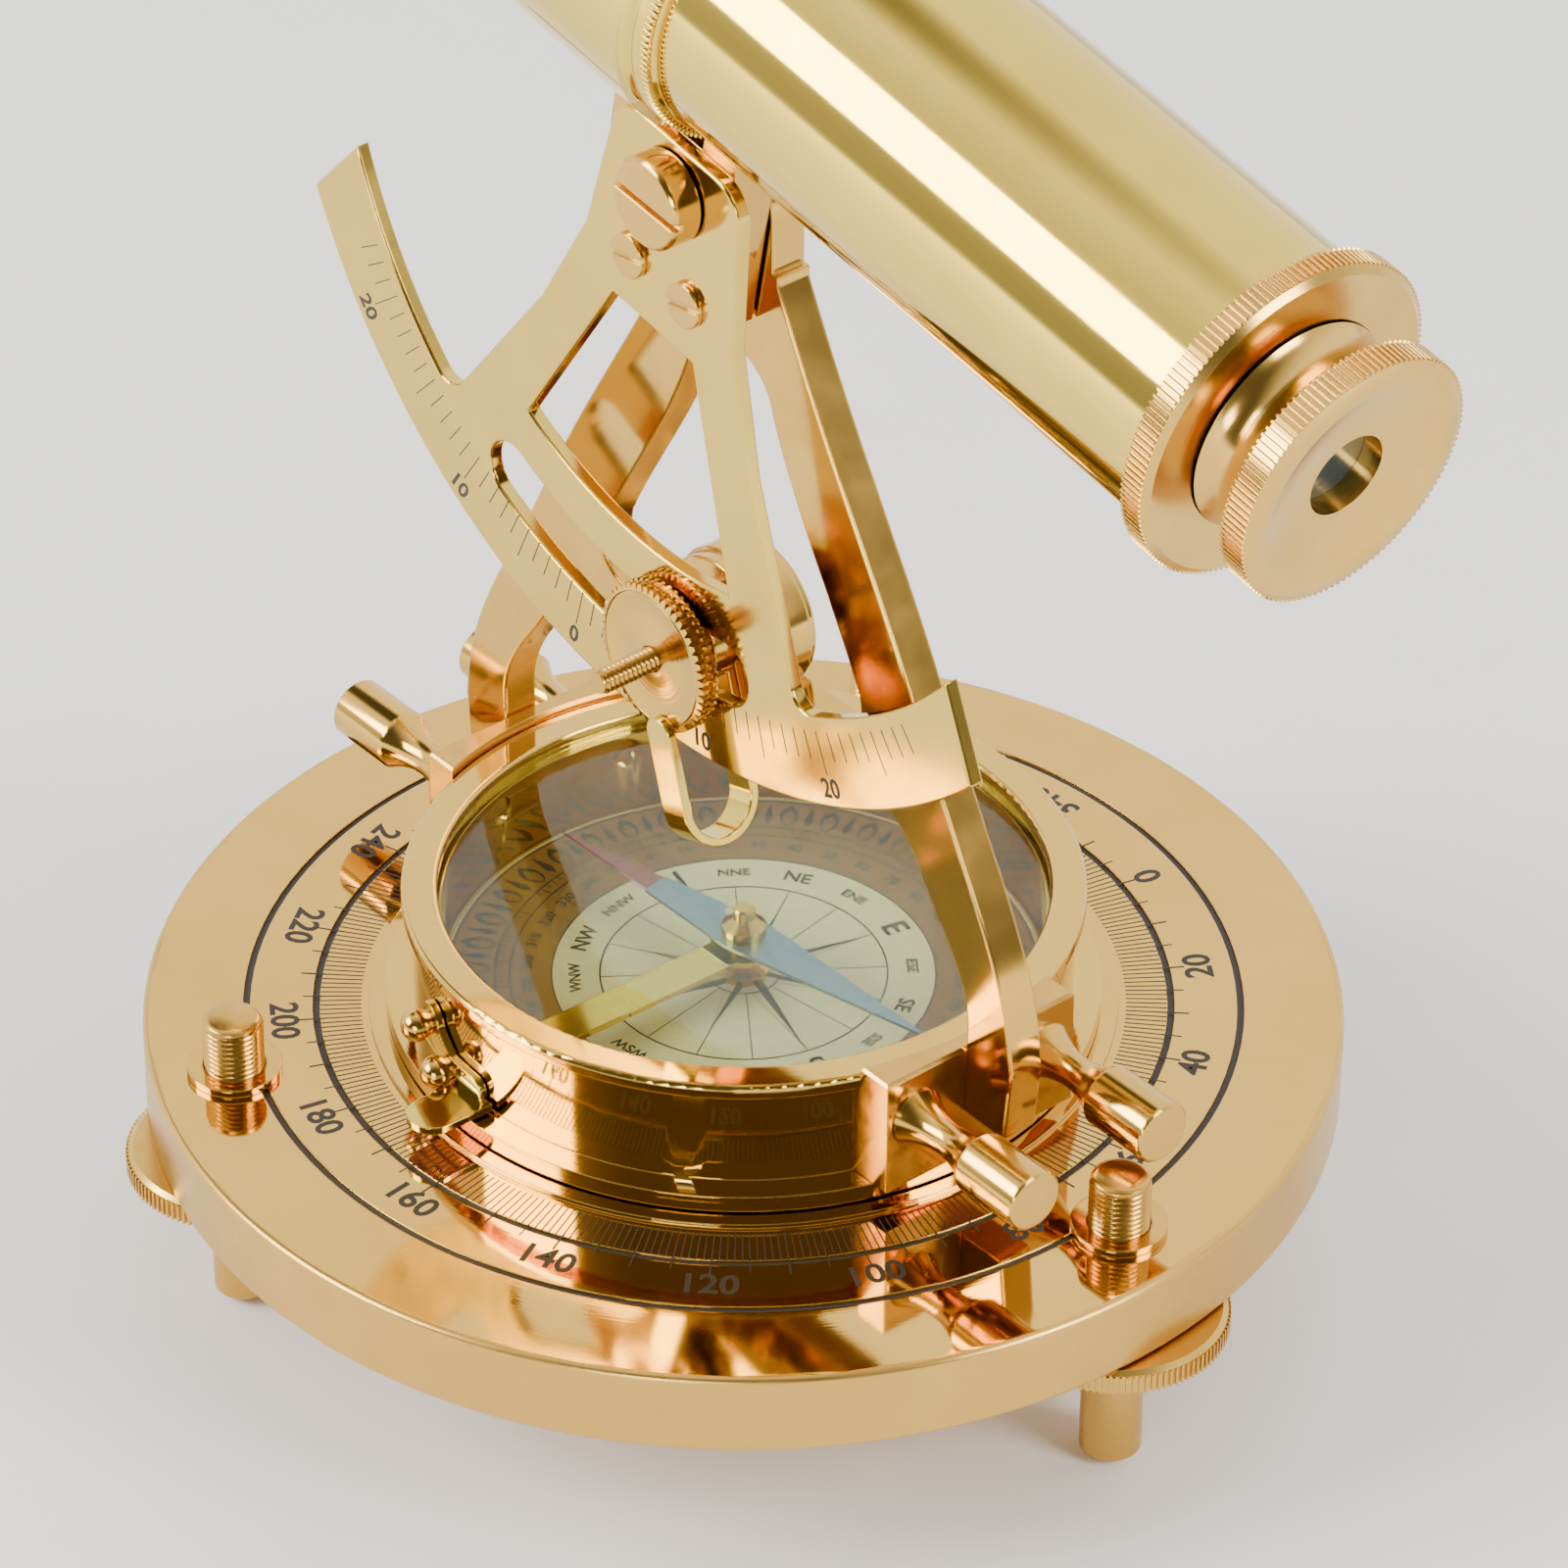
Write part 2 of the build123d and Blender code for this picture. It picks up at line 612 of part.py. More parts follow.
def going_round(angle):
    """Distance round the box from the arrest pin, on the lever's face."""
    return LEVER_OUT_R * sin(radians(angle - LEVER_PIN_DEG))


with BuildPart() as arrest_lever:
    lever_plane = radial(LEVER_PIN_DEG, BOX_BORE_R, DECK)
    tab_root_z = LEVER_TAB_Z + LEVER_BAND_R
    eye_spot = Vector(going_round(LEVER_PIVOT_DEG), LEVER_PIVOT_Z)
    pin_spot = Vector(0, LEVER_PIN_Z)
    tab_spot = Vector(going_round(LEVER_TAB_DEG), tab_root_z)
    with BuildSketch(lever_plane):
        for start, end in ((eye_spot, pin_spot), (pin_spot, tab_spot)):
            run = end - start
            with Locations((start + end) / 2):
                SlotCenterToCenter(run.length, 2 * LEVER_BAND_R, rotation=degrees(atan2(run.Y, run.X)))
        with Locations(eye_spot):
            Circle(LEVER_EYE_R)
    extrude(amount=2 * BOX_WALL)
    with BuildSketch(Plane.XY.offset(DECK)):
        Circle(LEVER_OUT_R)
        Circle(LEVER_IN_R, mode=Mode.SUBTRACT)
    extrude(amount=BOX_TOP, mode=Mode.INTERSECT)
    tab_plane = Plane(
        origin=(0, 0, DECK + LEVER_TAB_Z),
        x_dir=(cos(radians(LEVER_TAB_DEG)), sin(radians(LEVER_TAB_DEG)), 0),
        z_dir=(0, 0, 1),
    )
    with BuildSketch(tab_plane):
        straight = LEVER_TAB_REACH - LEVER_TAB_W / 2
        with Locations((straight / 2, 0)):
            Rectangle(straight, LEVER_TAB_W)
        with Locations((straight, 0)):
            Circle(LEVER_TAB_W / 2)
        with Locations((0, 0)):
            Circle(LEVER_IN_R + LEVER_GAP, mode=Mode.SUBTRACT)
    extrude(amount=LEVER_T)
    eye_hole = disc(radial(LEVER_PIVOT_DEG, BOX_R, DECK + LEVER_PIVOT_Z), LEVER_SHANK_R + RUN)
    extrude(eye_hole, amount=BOX_WALL, mode=Mode.SUBTRACT)
    pin_hole = disc(radial(LEVER_PIN_DEG, BOX_R, DECK + LEVER_PIN_Z), LEVER_PIN_R + FIT)
    extrude(pin_hole, amount=BOX_WALL, mode=Mode.SUBTRACT)
save(arrest_lever, "arrest_lever")


def ball_screw(angle, z, inner_end, shank_r):
    """Ball-headed screw that points at the Z axis."""
    facing = radial(angle, 0, z)
    section = Plane(origin=facing.origin, x_dir=facing.z_dir, z_dir=facing.x_dir)
    ball_centre = LEVER_OUT_R + AIR + sqrt(BALL_R**2 - BALL_NECK_R**2)
    with BuildPart() as screw:
        with BuildSketch(section):
            with BuildLine():
                Polyline(
                    (ball_centre + BALL_R, 0),
                    (inner_end, 0),
                    (inner_end, shank_r),
                    (LEVER_OUT_R + FIT, shank_r),
                    (LEVER_OUT_R + FIT, BALL_NECK_R),
                    (LEVER_OUT_R + AIR, BALL_NECK_R),
                )
                ThreePointArc(
                    (LEVER_OUT_R + AIR, BALL_NECK_R), (ball_centre, BALL_R), (ball_centre + BALL_R, 0)
                )
            make_face()
        revolve(axis=Axis(facing.origin, facing.z_dir))
    return screw


arrest_pivot_screw = ball_screw(LEVER_PIVOT_DEG, DECK + LEVER_PIVOT_Z, BOX_BORE_R + 0.3, LEVER_SHANK_R)
save(arrest_pivot_screw, "arrest_pivot_screw")
arrest_pin = ball_screw(LEVER_PIN_DEG, DECK + LEVER_PIN_Z, LEVER_PIN_REACH, LEVER_PIN_R)
save(arrest_pin, "arrest_pin")

# ------------------------------------------------------------------ foot blocks
BLOCK_BOTTOM = FLANGE_TOP + 0.1
BLOCK_EDGE = 0.4

for side, side_name in ((1, "right"), (-1, "left")):
    with BuildPart() as foot_block:
        with BuildSketch(Plane.XY.offset(DECK + BLOCK_BOTTOM)):
            with Locations((side * BLOCK_FACE_X / 2, 0)):
                Rectangle(BLOCK_FACE_X, 2 * BLOCK_HALF_W)
            Circle(BOX_R + FIT, mode=Mode.SUBTRACT)
        extrude(amount=BLOCK_TOP - BLOCK_BOTTOM)
        top = foot_block.faces().sort_by(Axis.Z)[-1]
        chamfer(top.edges().filter_by(GeomType.LINE), length=BLOCK_EDGE)
        bezel_notch = disc(Plane.XY.offset(DECK + BOX_TOP - FIT), BEZEL_R + FIT)
        extrude(bezel_notch, amount=BLOCK_TOP, mode=Mode.SUBTRACT)
        for y in (THUMB_Y, -THUMB_Y):
            bore_face = disc(thumb_plane(side, y, 0), THUMB_SHANK_R + RUN)
            extrude(bore_face, amount=2 * BLOCK_FACE_X, mode=Mode.SUBTRACT)
    save(foot_block, f"foot_block_{side_name}")

# ------------------------------------------------------------------ thumb screws
for number, (side, y) in enumerate(THUMB_SPOTS, start=1):
    facing = thumb_plane(side, y, 0)
    section = Plane(origin=facing.origin, x_dir=facing.z_dir, z_dir=(0, -side, 0))
    seat = BLOCK_FACE_X + RUN
    outer_end = BLOCK_FACE_X + THUMB_L
    head_start = outer_end - THUMB_HEAD_L
    waist = BLOCK_FACE_X + THUMB_WAIST_AT
    tip = sqrt(BOX_BORE_R**2 - THUMB_Y**2) + 1
    with BuildPart() as thumb_screw:
        with BuildSketch(section):
            with BuildLine():
                Polyline(
                    (seat, THUMB_BASE_R),
                    (seat, THUMB_SHANK_R),
                    (tip, THUMB_SHANK_R),
                    (tip, 0),
                    (outer_end, 0),
                    (outer_end, THUMB_R - 0.5),
                    (outer_end - 0.5, THUMB_R),
                    (head_start, THUMB_R),
                )
                ThreePointArc((head_start, THUMB_R), (waist, THUMB_WAIST_R), (seat, THUMB_BASE_R))
            make_face()
        revolve(axis=Axis(facing.origin, facing.z_dir))
    save(thumb_screw, f"thumb_screw_{number}")

# ------------------------------------------------------------------ A-frame
BOSS_EDGE = 0.5         # set-back of the raised boss from its rim
# Points of the legs: x, and the share of the height between the two levels they run between.
LEG_OUT_SHARES = [(17, 0.7724), (31, 0.5752), (42, 0.4026), (51, 0.2547), (53.5, 0.1561)]
LEG_IN_SHARES = [(ARCH_R, 0.8571), (12, 0.6593), (20.5, 0.3297), (24.5, 0.1648)]
LEG_LOW_SHARES = [(33, 0.9375), (37.8, 0.6667), (42, 0.4167), (44.6, 0.2083), (BLOCK_FACE_X, 0)]
WEB_CORNER_X = 16.0
WEB_FLARE = (24.3, 0.0549)
WEB_LOW_X = (24.0, 30.0)
WEB_LOW_DROOP = 0.3
STEP_DROP = 10.7        # step under the head, below the pivot
STEP_X = 8.9
STEP_H = 1.5


def between(low, high, points):
    """Points whose heights are given as shares of the way from one level to another."""
    return [(x, low + share * (high - low)) for x, share in points]


LEG_OUT = between(0, PIVOT_OVER_DECK, LEG_OUT_SHARES)
LEG_IN = between(WEB_TOP, ARCH_TOP, LEG_IN_SHARES)
LEG_IN_LOW = between(FRAME_FOOT_TOP, WEB_BOTTOM, LEG_LOW_SHARES)
STEP_Z = PIVOT_OVER_DECK - STEP_DROP

with BuildPart() as a_frame:
    with BuildSketch(upright(FRAME_HALF_T)):
        with BuildLine():
            head_centre_z = PIVOT_OVER_DECK - FRAME_HEAD_DROP
            head_top = (0, head_centre_z + FRAME_HEAD_R)
            head_side = (FRAME_HEAD_R, head_centre_z)
            foot_outer = (BLOCK_FACE_X + FRAME_FOOT_W, FRAME_FOOT_Z)
            head_corner = FRAME_HEAD_R / sqrt(2)
            ThreePointArc(head_top, (head_corner, head_centre_z + head_corner), head_side)
            Polyline(head_side, (FRAME_HEAD_R, STEP_Z), (STEP_X, STEP_Z), (STEP_X, STEP_Z - STEP_H))
            Spline((STEP_X, STEP_Z - STEP_H), *LEG_OUT)
            Polyline(LEG_OUT[-1], foot_outer, (0, FRAME_FOOT_Z), head_top)
        make_face()
        with BuildLine():
            arch_side = LEG_IN[0]
            web_corner = (WEB_CORNER_X, WEB_TOP)
            ThreePointArc((0, ARCH_TOP), (ARCH_R * 0.66, ARCH_TOP - 1.9), arch_side)
            Spline(*LEG_IN)
            Spline(LEG_IN[-1], *between(WEB_TOP, ARCH_TOP, [WEB_FLARE]), web_corner)
            Polyline(web_corner, (0, WEB_TOP), (0, ARCH_TOP))
        make_face(mode=Mode.SUBTRACT)
        with BuildLine():
            web_low = (WEB_LOW_X[0], WEB_BOTTOM)
            Polyline((0, FRAME_FOOT_Z), (0, WEB_BOTTOM), web_low)
            Spline(web_low, (WEB_LOW_X[1], WEB_BOTTOM + WEB_LOW_DROOP), *LEG_IN_LOW)
            Polyline(LEG_IN_LOW[-1], (BLOCK_FACE_X, FRAME_FOOT_Z), (0, FRAME_FOOT_Z))
        make_face(mode=Mode.SUBTRACT)
        mirror(about=Plane.YZ)
        with Locations((0, PIVOT_OVER_DECK - CLAMP_DROP)):
            Circle(BOSS_R)
    extrude(amount=FRAME_T)
    boss_back = disc(upright(FRAME_HALF_T), BOSS_R - BOSS_EDGE, at=(0, PIVOT_OVER_DECK - CLAMP_DROP))
    extrude(boss_back, amount=-BOSS_BACK)
    boss_front = disc(upright(-FRAME_HALF_T), BOSS_R - BOSS_EDGE, at=(0, PIVOT_OVER_DECK - CLAMP_DROP))
    extrude(boss_front, amount=BOSS_FRONT)
    rod_bore = disc(upright(FRAME_T), ROD_R + FIT, at=(0, PIVOT_OVER_DECK - CLAMP_DROP))
    extrude(rod_bore, amount=2 * FRAME_T, mode=Mode.SUBTRACT)
    pivot_bore = disc(upright(FRAME_T), PIVOT_R + RUN, at=(0, PIVOT_OVER_DECK))
    extrude(pivot_bore, amount=2 * FRAME_T, mode=Mode.SUBTRACT)
save(a_frame, "a_frame")

# ------------------------------------------------------------------ pivot bolt and nut
with BuildPart() as pivot_bolt:
    bolt_end = FRAME_HALF_T + PIVOT_NUT_T + 2
    head_face = tilted(PIVOT_HEAD_Y)
    extrude(disc(head_face, PIVOT_HEAD_R), amount=PIVOT_HEAD_T)
    chamfer(pivot_bolt.edges().group_by(Axis.Y)[0], length=0.5)
    extrude(disc(head_face, PIVOT_R), amount=-(bolt_end - PIVOT_HEAD_Y))
    slot = bar(
        upright(PIVOT_HEAD_Y - PIVOT_HEAD_T),
        3 * PIVOT_HEAD_R,
        DRIVER_SLOT_W,
        at=(0, PIVOT_OVER_DECK),
        angle=PIVOT_SLOT_DEG,
    )
    extrude(slot, amount=-DRIVER_SLOT_DEPTH, mode=Mode.SUBTRACT)
save(pivot_bolt, "pivot_bolt")

with BuildPart() as pivot_nut:
    with BuildSketch(upright(FRAME_HALF_T)):
        with Locations((0, PIVOT_OVER_DECK)):
            RegularPolygon(PIVOT_NUT_R, 6)
            Circle(PIVOT_R + RUN, mode=Mode.SUBTRACT)
    extrude(amount=-PIVOT_NUT_T)
save(pivot_nut, "pivot_nut")

# ------------------------------------------------------------------ clamp
def clamp_disc(y, radius, length):
    """Cylinder on the clamp rod's axis, from y towards -Y."""
    face = disc(upright(y), radius, at=(0, PIVOT_OVER_DECK - CLAMP_DROP))
    return extrude(face, amount=length, mode=Mode.PRIVATE)


with BuildPart() as clamp_rod:
    add(clamp_disc(FRAME_HALF_T + BOSS_BACK, ROD_R, FRAME_HALF_T + BOSS_BACK - ROD_END_Y))
    chamfer(clamp_rod.edges().group_by(Axis.Y)[0], length=0.5)
save(clamp_rod, "clamp_rod")

with BuildPart() as clamp_spacer:
    spacer_start = STRIP_BACK_Y - STRIP_T - FIT
    spacer_l = spacer_start - (ARC_BACK_Y + AIR)
    add(clamp_disc(spacer_start, SPACER_R, spacer_l))
    add(clamp_disc(spacer_start, ROD_R + FIT, spacer_l), mode=Mode.SUBTRACT)
save(clamp_spacer, "clamp_spacer")

with BuildPart() as clamp_nut:
    add(clamp_disc(NUT_BACK_Y, NUT_R, NUT_T))
    chamfer(clamp_nut.edges().filter_by(GeomType.CIRCLE), length=0.5)
    add(clamp_disc(NUT_BACK_Y, ROD_R + RUN, NUT_T), mode=Mode.SUBTRACT)
save(clamp_nut, "clamp_nut")

with BuildPart() as index_strip:
    lean = radians(STRIP_LEAN)
    down = Vector(sin(lean), 0, -cos(lean))
    hang = Plane(origin=(0, 0, CLAMP_Z), x_dir=(0, -1, 0), z_dir=(-cos(lean), 0, -sin(lean)))
    back, front = -STRIP_BACK_Y, -STRIP_FRONT_Y
    bend_r = (front + STRIP_T - back) / 2
    bend_top = -(STRIP_DROP - bend_r)
    arm_top = -(STRIP_DROP - STRIP_FRONT_RISE)
    with BuildSketch(hang.offset(-STRIP_W / 2)):
        with BuildLine():
            Polyline((back, 0), (back, bend_top))
            ThreePointArc((back, bend_top), (back + bend_r, -STRIP_DROP), (back + 2 * bend_r, bend_top))
            Polyline(
                (back + 2 * bend_r, bend_top),
                (back + 2 * bend_r, arm_top),
                (back + 2 * bend_r - STRIP_T, arm_top),
                (back + 2 * bend_r - STRIP_T, bend_top),
            )
            ThreePointArc(
                (back + 2 * bend_r - STRIP_T, bend_top),
                (back + bend_r, -STRIP_DROP + STRIP_T),
                (back + STRIP_T, bend_top),
            )
            Polyline((back + STRIP_T, bend_top), (back + STRIP_T, 0), (back, 0))
        make_face()
    extrude(amount=STRIP_W)
    front_end = Vector(0, 0, CLAMP_Z) - down * arm_top
    end_plane = Plane(origin=(front_end.X, STRIP_FRONT_Y, front_end.Z), x_dir=(1, 0, 0), z_dir=(0, -1, 0))
    extrude(disc(end_plane, STRIP_W / 2), amount=STRIP_T)
    add(clamp_disc(STRIP_BACK_Y, STRIP_W, STRIP_T))
    add(clamp_disc(STRIP_BACK_Y, ROD_R + FIT, STRIP_T), mode=Mode.SUBTRACT)
save(index_strip, "index_strip")

# ------------------------------------------------------------------ arc plate and lug
ARM_END_DEG = 31.36
ARM_FOOT_DEG = 31.17
ARM_SET_BACK = 3.43     # where an arm's curve into the rim starts


def on_arc(radius, angle):
    """Point at an angle from straight down, in the telescope's frame."""
    return (radius * sin(radians(angle)), -radius * cos(radians(angle)))


with BuildPart() as arc_plate:
    hip, waist_point = (14, -14), (20, -30)
    arm_end = on_arc(RIM_INNER_R - ARM_SET_BACK, ARM_END_DEG)
    with BuildSketch(tilted(ARC_BACK_Y)) as arc_sketch:
        with BuildLine():
            half_head = ARC_HEAD_W / 2
            Polyline((0, ARC_HEAD_TOP), (half_head - 5, ARC_HEAD_TOP))
            RadiusArc((half_head - 5, ARC_HEAD_TOP), (half_head, ARC_HEAD_TOP - 5), 5)
            Polyline(
                (half_head, ARC_HEAD_TOP - 5),
                hip,
                waist_point,
                arm_end,
                on_arc(RIM_INNER_R, ARM_FOOT_DEG),
            )
            ThreePointArc(
                on_arc(RIM_INNER_R, ARM_FOOT_DEG),
                on_arc(RIM_INNER_R, (ARM_FOOT_DEG + HORN_INNER_DEG) / 2),
                on_arc(RIM_INNER_R, HORN_INNER_DEG),
            )
            Line(on_arc(RIM_INNER_R, HORN_INNER_DEG), on_arc(ARC_R, HORN_OUTER_DEG))
            ThreePointArc(
                on_arc(ARC_R, HORN_OUTER_DEG), on_arc(ARC_R, HORN_OUTER_DEG / 2), on_arc(ARC_R, 0)
            )
            Line(on_arc(ARC_R, 0), (0, ARC_HEAD_TOP))
        make_face()
        arm_corner = arc_sketch.vertices().sort_by_distance((*on_arc(RIM_INNER_R, ARM_FOOT_DEG), 0))[0]
        fillet(arm_corner, 3)
        mirror(about=Plane.YZ)
        with BuildLine():
            ThreePointArc(
                on_arc(WINDOW_R, -WINDOW_HALF_DEG),
                on_arc(WINDOW_R, 0),
                on_arc(WINDOW_R, WINDOW_HALF_DEG),
            )
            Polyline(
                on_arc(WINDOW_R, WINDOW_HALF_DEG),
                (WINDOW_TOP_W / 2, -WINDOW_TOP),
                (-WINDOW_TOP_W / 2, -WINDOW_TOP),
                on_arc(WINDOW_R, -WINDOW_HALF_DEG),
            )
        make_face(mode=Mode.SUBTRACT)
        slot_end = SLOT_HALF_DEG - degrees(asin(SLOT_W / 2 / SLOT_R))
        with BuildLine():
            for radius, first, last in ((SLOT_OUTER_R, -1, 1), (SLOT_INNER_R, 1, -1)):
                ThreePointArc(
                    on_arc(radius, first * slot_end), on_arc(radius, 0), on_arc(radius, last * slot_end)
                )
                ThreePointArc(
                    on_arc(radius, last * slot_end),
                    on_arc(SLOT_R, last * SLOT_HALF_DEG),
                    on_arc(SLOT_INNER_R + SLOT_OUTER_R - radius, last * slot_end),
                )
        make_face(mode=Mode.SUBTRACT)
        Circle(PIVOT_R + RUN, mode=Mode.SUBTRACT)
        with Locations((-LUG_SCREW_X, -LUG_SCREW_DROP), (LUG_SCREW_X, -LUG_SCREW_DROP)):
            Circle(LUG_SCREW_R + FIT, mode=Mode.SUBTRACT)
    extrude(amount=ARC_T)
    chamfer(arc_plate.faces().sort_by(Axis.Y)[0].edges(), length=0.25)
save(arc_plate, "arc_plate")

with BuildPart() as telescope_lug:
    lug_outline = outline(
        tilted(LUG_BACK_Y),
        (-LUG_LEFT, AXIS_UP - TUBE_R / 2),
        (-LUG_LEFT, 0),
        (-LUG_RIGHT, -LUG_BOTTOM),
        (LUG_RIGHT, -LUG_BOTTOM),
        (LUG_RIGHT, AXIS_UP - TUBE_R / 2),
    )
    extrude(lug_outline, amount=LUG_BACK_Y - ARC_BACK_Y)
    saddle = disc(across(-2 * LUG_LEFT), TUBE_R + FIT)
    extrude(saddle, amount=4 * LUG_LEFT, mode=Mode.SUBTRACT)
    body_clearance = disc(across(-2 * LUG_LEFT), BODY_R + FIT)
    extrude(body_clearance, amount=2 * LUG_LEFT + BODY_END + BEAD_L + FIT, mode=Mode.SUBTRACT)
    extrude(disc(tilted(0), PIVOT_R + RUN), amount=-ARC_FRONT_Y, mode=Mode.SUBTRACT)
    for x in (-LUG_SCREW_X, LUG_SCREW_X):
        screw_hole = disc(tilted(0), LUG_SCREW_R + FIT, at=(x, -LUG_SCREW_DROP))
        extrude(screw_hole, amount=-ARC_FRONT_Y, mode=Mode.SUBTRACT)
save(telescope_lug, "telescope_lug")

with BuildPart() as lug_screws:
    for x in (-LUG_SCREW_X, LUG_SCREW_X):
        spot = (x, -LUG_SCREW_DROP)
        extrude(disc(tilted(ARC_FRONT_Y), LUG_SCREW_R, at=spot), amount=-(LUG_BACK_Y - ARC_FRONT_Y - 0.5))
        extrude(disc(tilted(ARC_FRONT_Y), LUG_SCREW_HEAD_R, at=spot), amount=LUG_SCREW_HEAD_T)
        head_top = tilted(ARC_FRONT_Y - LUG_SCREW_HEAD_T)
        slot = bar(head_top, 3 * LUG_SCREW_HEAD_R, LUG_SLOT_W, at=spot, angle=LUG_SLOT_DEG)
        extrude(slot, amount=-LUG_SCREW_HEAD_T / 2, mode=Mode.SUBTRACT)
save(lug_screws, "lug_screws")

# ------------------------------------------------------------------ telescope
with BuildPart() as main_tube:
    revolve(scope_ring(TUBE_R, TUBE_R - TUBE_WALL, TUBE_START, TUBE_END), axis=OPTICAL_AXIS)
save(main_tube, "main_tube")

BODY_LINER_R = TUBE_R + FIT

with BuildPart() as front_tube:
    with BuildSketch(tilted(0)):
        with BuildLine():
            low = AXIS_UP + BODY_LINER_R
            body_top = AXIS_UP + BODY_R
            bead_end = BODY_END + BEAD_L
            Polyline(
                (bead_end, AXIS_UP + TUBE_R + 0.3),
                (bead_end, low),
                (BODY_START, low),
                (BODY_START, body_top - 0.6),
                (BODY_START + 0.6, body_top),
                (BODY_END - 1, body_top),
                (BODY_END, AXIS_UP + BEAD_R),
            )
            SagittaArc((BODY_END, AXIS_UP + BEAD_R), (bead_end, AXIS_UP + TUBE_R + 0.3), 0.6)
        make_face()
    revolve(axis=OPTICAL_AXIS)
save(front_tube, "front_tube")

LENS_START = BODY_START + OBJECTIVE_SET_BACK

with BuildPart() as objective_cell:
    cell_section = outline(
        tilted(0),
        (LENS_START - RETAINER_T, AXIS_UP + OBJECTIVE_R + FIT),
        (LENS_START + OBJECTIVE_T, AXIS_UP + OBJECTIVE_R + FIT),
        (LENS_START + OBJECTIVE_T, AXIS_UP + RETAINER_BORE_R),
        (LENS_START + OBJECTIVE_T + 2, AXIS_UP + RETAINER_BORE_R),
        (LENS_START + OBJECTIVE_T + 2, AXIS_UP + BODY_LINER_R - FIT),
        (LENS_START - RETAINER_T, AXIS_UP + BODY_LINER_R - FIT),
    )
    revolve(cell_section, axis=OPTICAL_AXIS)
save(objective_cell, "objective_cell")

with BuildPart() as objective_lens:
    lens_section = outline(
        tilted(0),
        (LENS_START, AXIS_UP),
        (LENS_START, AXIS_UP + OBJECTIVE_R * 0.7),
        (LENS_START + OBJECTIVE_T * 0.3, AXIS_UP + OBJECTIVE_R),
        (LENS_START + OBJECTIVE_T, AXIS_UP + OBJECTIVE_R),
        (LENS_START + OBJECTIVE_T, AXIS_UP),
    )
    revolve(lens_section, axis=OPTICAL_AXIS)
save(objective_lens, "objective_lens")

with BuildPart() as objective_retainer:
    ring_end = LENS_START - FIT
    revolve(
        scope_ring(OBJECTIVE_R, RETAINER_BORE_R, ring_end - RETAINER_T, ring_end), axis=OPTICAL_AXIS
    )
save(objective_retainer, "objective_retainer")

with BuildPart() as reticle_ring:
    revolve(
        scope_ring(TUBE_R - TUBE_WALL - FIT, RETICLE_BORE_R, RETICLE_AT, RETICLE_AT + RETICLE_T),
        axis=OPTICAL_AXIS,
    )
save(reticle_ring, "reticle_ring")

with BuildPart() as tube_collar:
    with BuildSketch(tilted(0)) as collar_section:
        with BuildLine():
            Polyline(
                (TUBE_END - DRAW_BACK / 2, AXIS_UP + DRAW_R + RUN),
                (TUBE_END + COLLAR_L, AXIS_UP + DRAW_R + RUN),
                (TUBE_END + COLLAR_L, AXIS_UP + COLLAR_R),
                (TUBE_END, AXIS_UP + COLLAR_R),
                (TUBE_END, AXIS_UP + TUBE_R - TUBE_WALL - FIT),
                (TUBE_END - DRAW_BACK / 2, AXIS_UP + TUBE_R - TUBE_WALL - FIT),
                close=True,
            )
        make_face()
        outer_corner = (TUBE_END + COLLAR_L, AXIS_UP + COLLAR_R, 0)
        collar_front = collar_section.vertices().sort_by_distance(outer_corner)[0]
        fillet(collar_front, 1.2)
    revolve(axis=OPTICAL_AXIS)
save(tube_collar, "tube_collar")

# ------------------------------------------------------------------ eyepiece
with BuildPart() as draw_tube:
    with BuildSketch(tilted(0)):
        with BuildLine():
            inner = AXIS_UP + DRAW_R - DRAW_WALL
            neck = AXIS_UP + NECK_R
            Polyline(
                (NECK_START, neck),
                (NECK_START, AXIS_UP + DRAW_R),
                (DRAW_START, AXIS_UP + DRAW_R),
                (DRAW_START, inner),
                (EYE_CAP_START, inner),
                (EYE_CAP_START, neck),
            )
            ThreePointArc(
                (EYE_CAP_START, neck), (NECK_START + NECK_L / 2, AXIS_UP + NECK_WAIST_R), (NECK_START, neck)
            )
        make_face()
    revolve(axis=OPTICAL_AXIS)
save(draw_tube, "draw_tube")

with BuildPart() as eye_cap:
    with BuildSketch(tilted(0)) as cap_section:
        with BuildLine():
            Polyline(
                (EYE_CAP_START + FIT, AXIS_UP + EYE_HOLE_R),
                (EYE_CAP_START + FIT, AXIS_UP + EYE_CAP_R),
                (EYE_END, AXIS_UP + EYE_CAP_R),
                (EYE_END, AXIS_UP + EYE_CAP_R - 1.5),
            )
            SagittaArc(
                (EYE_END, AXIS_UP + EYE_CAP_R - 1.5),
                (EYE_END - EYE_DISH, AXIS_UP + EYE_HOLE_R),
                EYE_DISH / 3,
            )
            Line((EYE_END - EYE_DISH, AXIS_UP + EYE_HOLE_R), (EYE_CAP_START + FIT, AXIS_UP + EYE_HOLE_R))
        make_face()
        rim_edges = cap_section.vertices().group_by(Axis.Y)[-1]
        fillet(rim_edges, 0.5)
    revolve(axis=OPTICAL_AXIS)
save(eye_cap, "eye_cap")

with BuildPart() as eye_lens:
    lens_end = EYE_CAP_START - FIT
    revolve(
        outline(
            tilted(0),
            (lens_end - EYE_LENS_T, AXIS_UP),
            (lens_end - EYE_LENS_T, AXIS_UP + DRAW_R - DRAW_WALL - FIT),
            (lens_end, AXIS_UP + DRAW_R - DRAW_WALL - FIT),
            (lens_end, AXIS_UP),
        ),
        axis=OPTICAL_AXIS,
    )
save(eye_lens, "eye_lens")

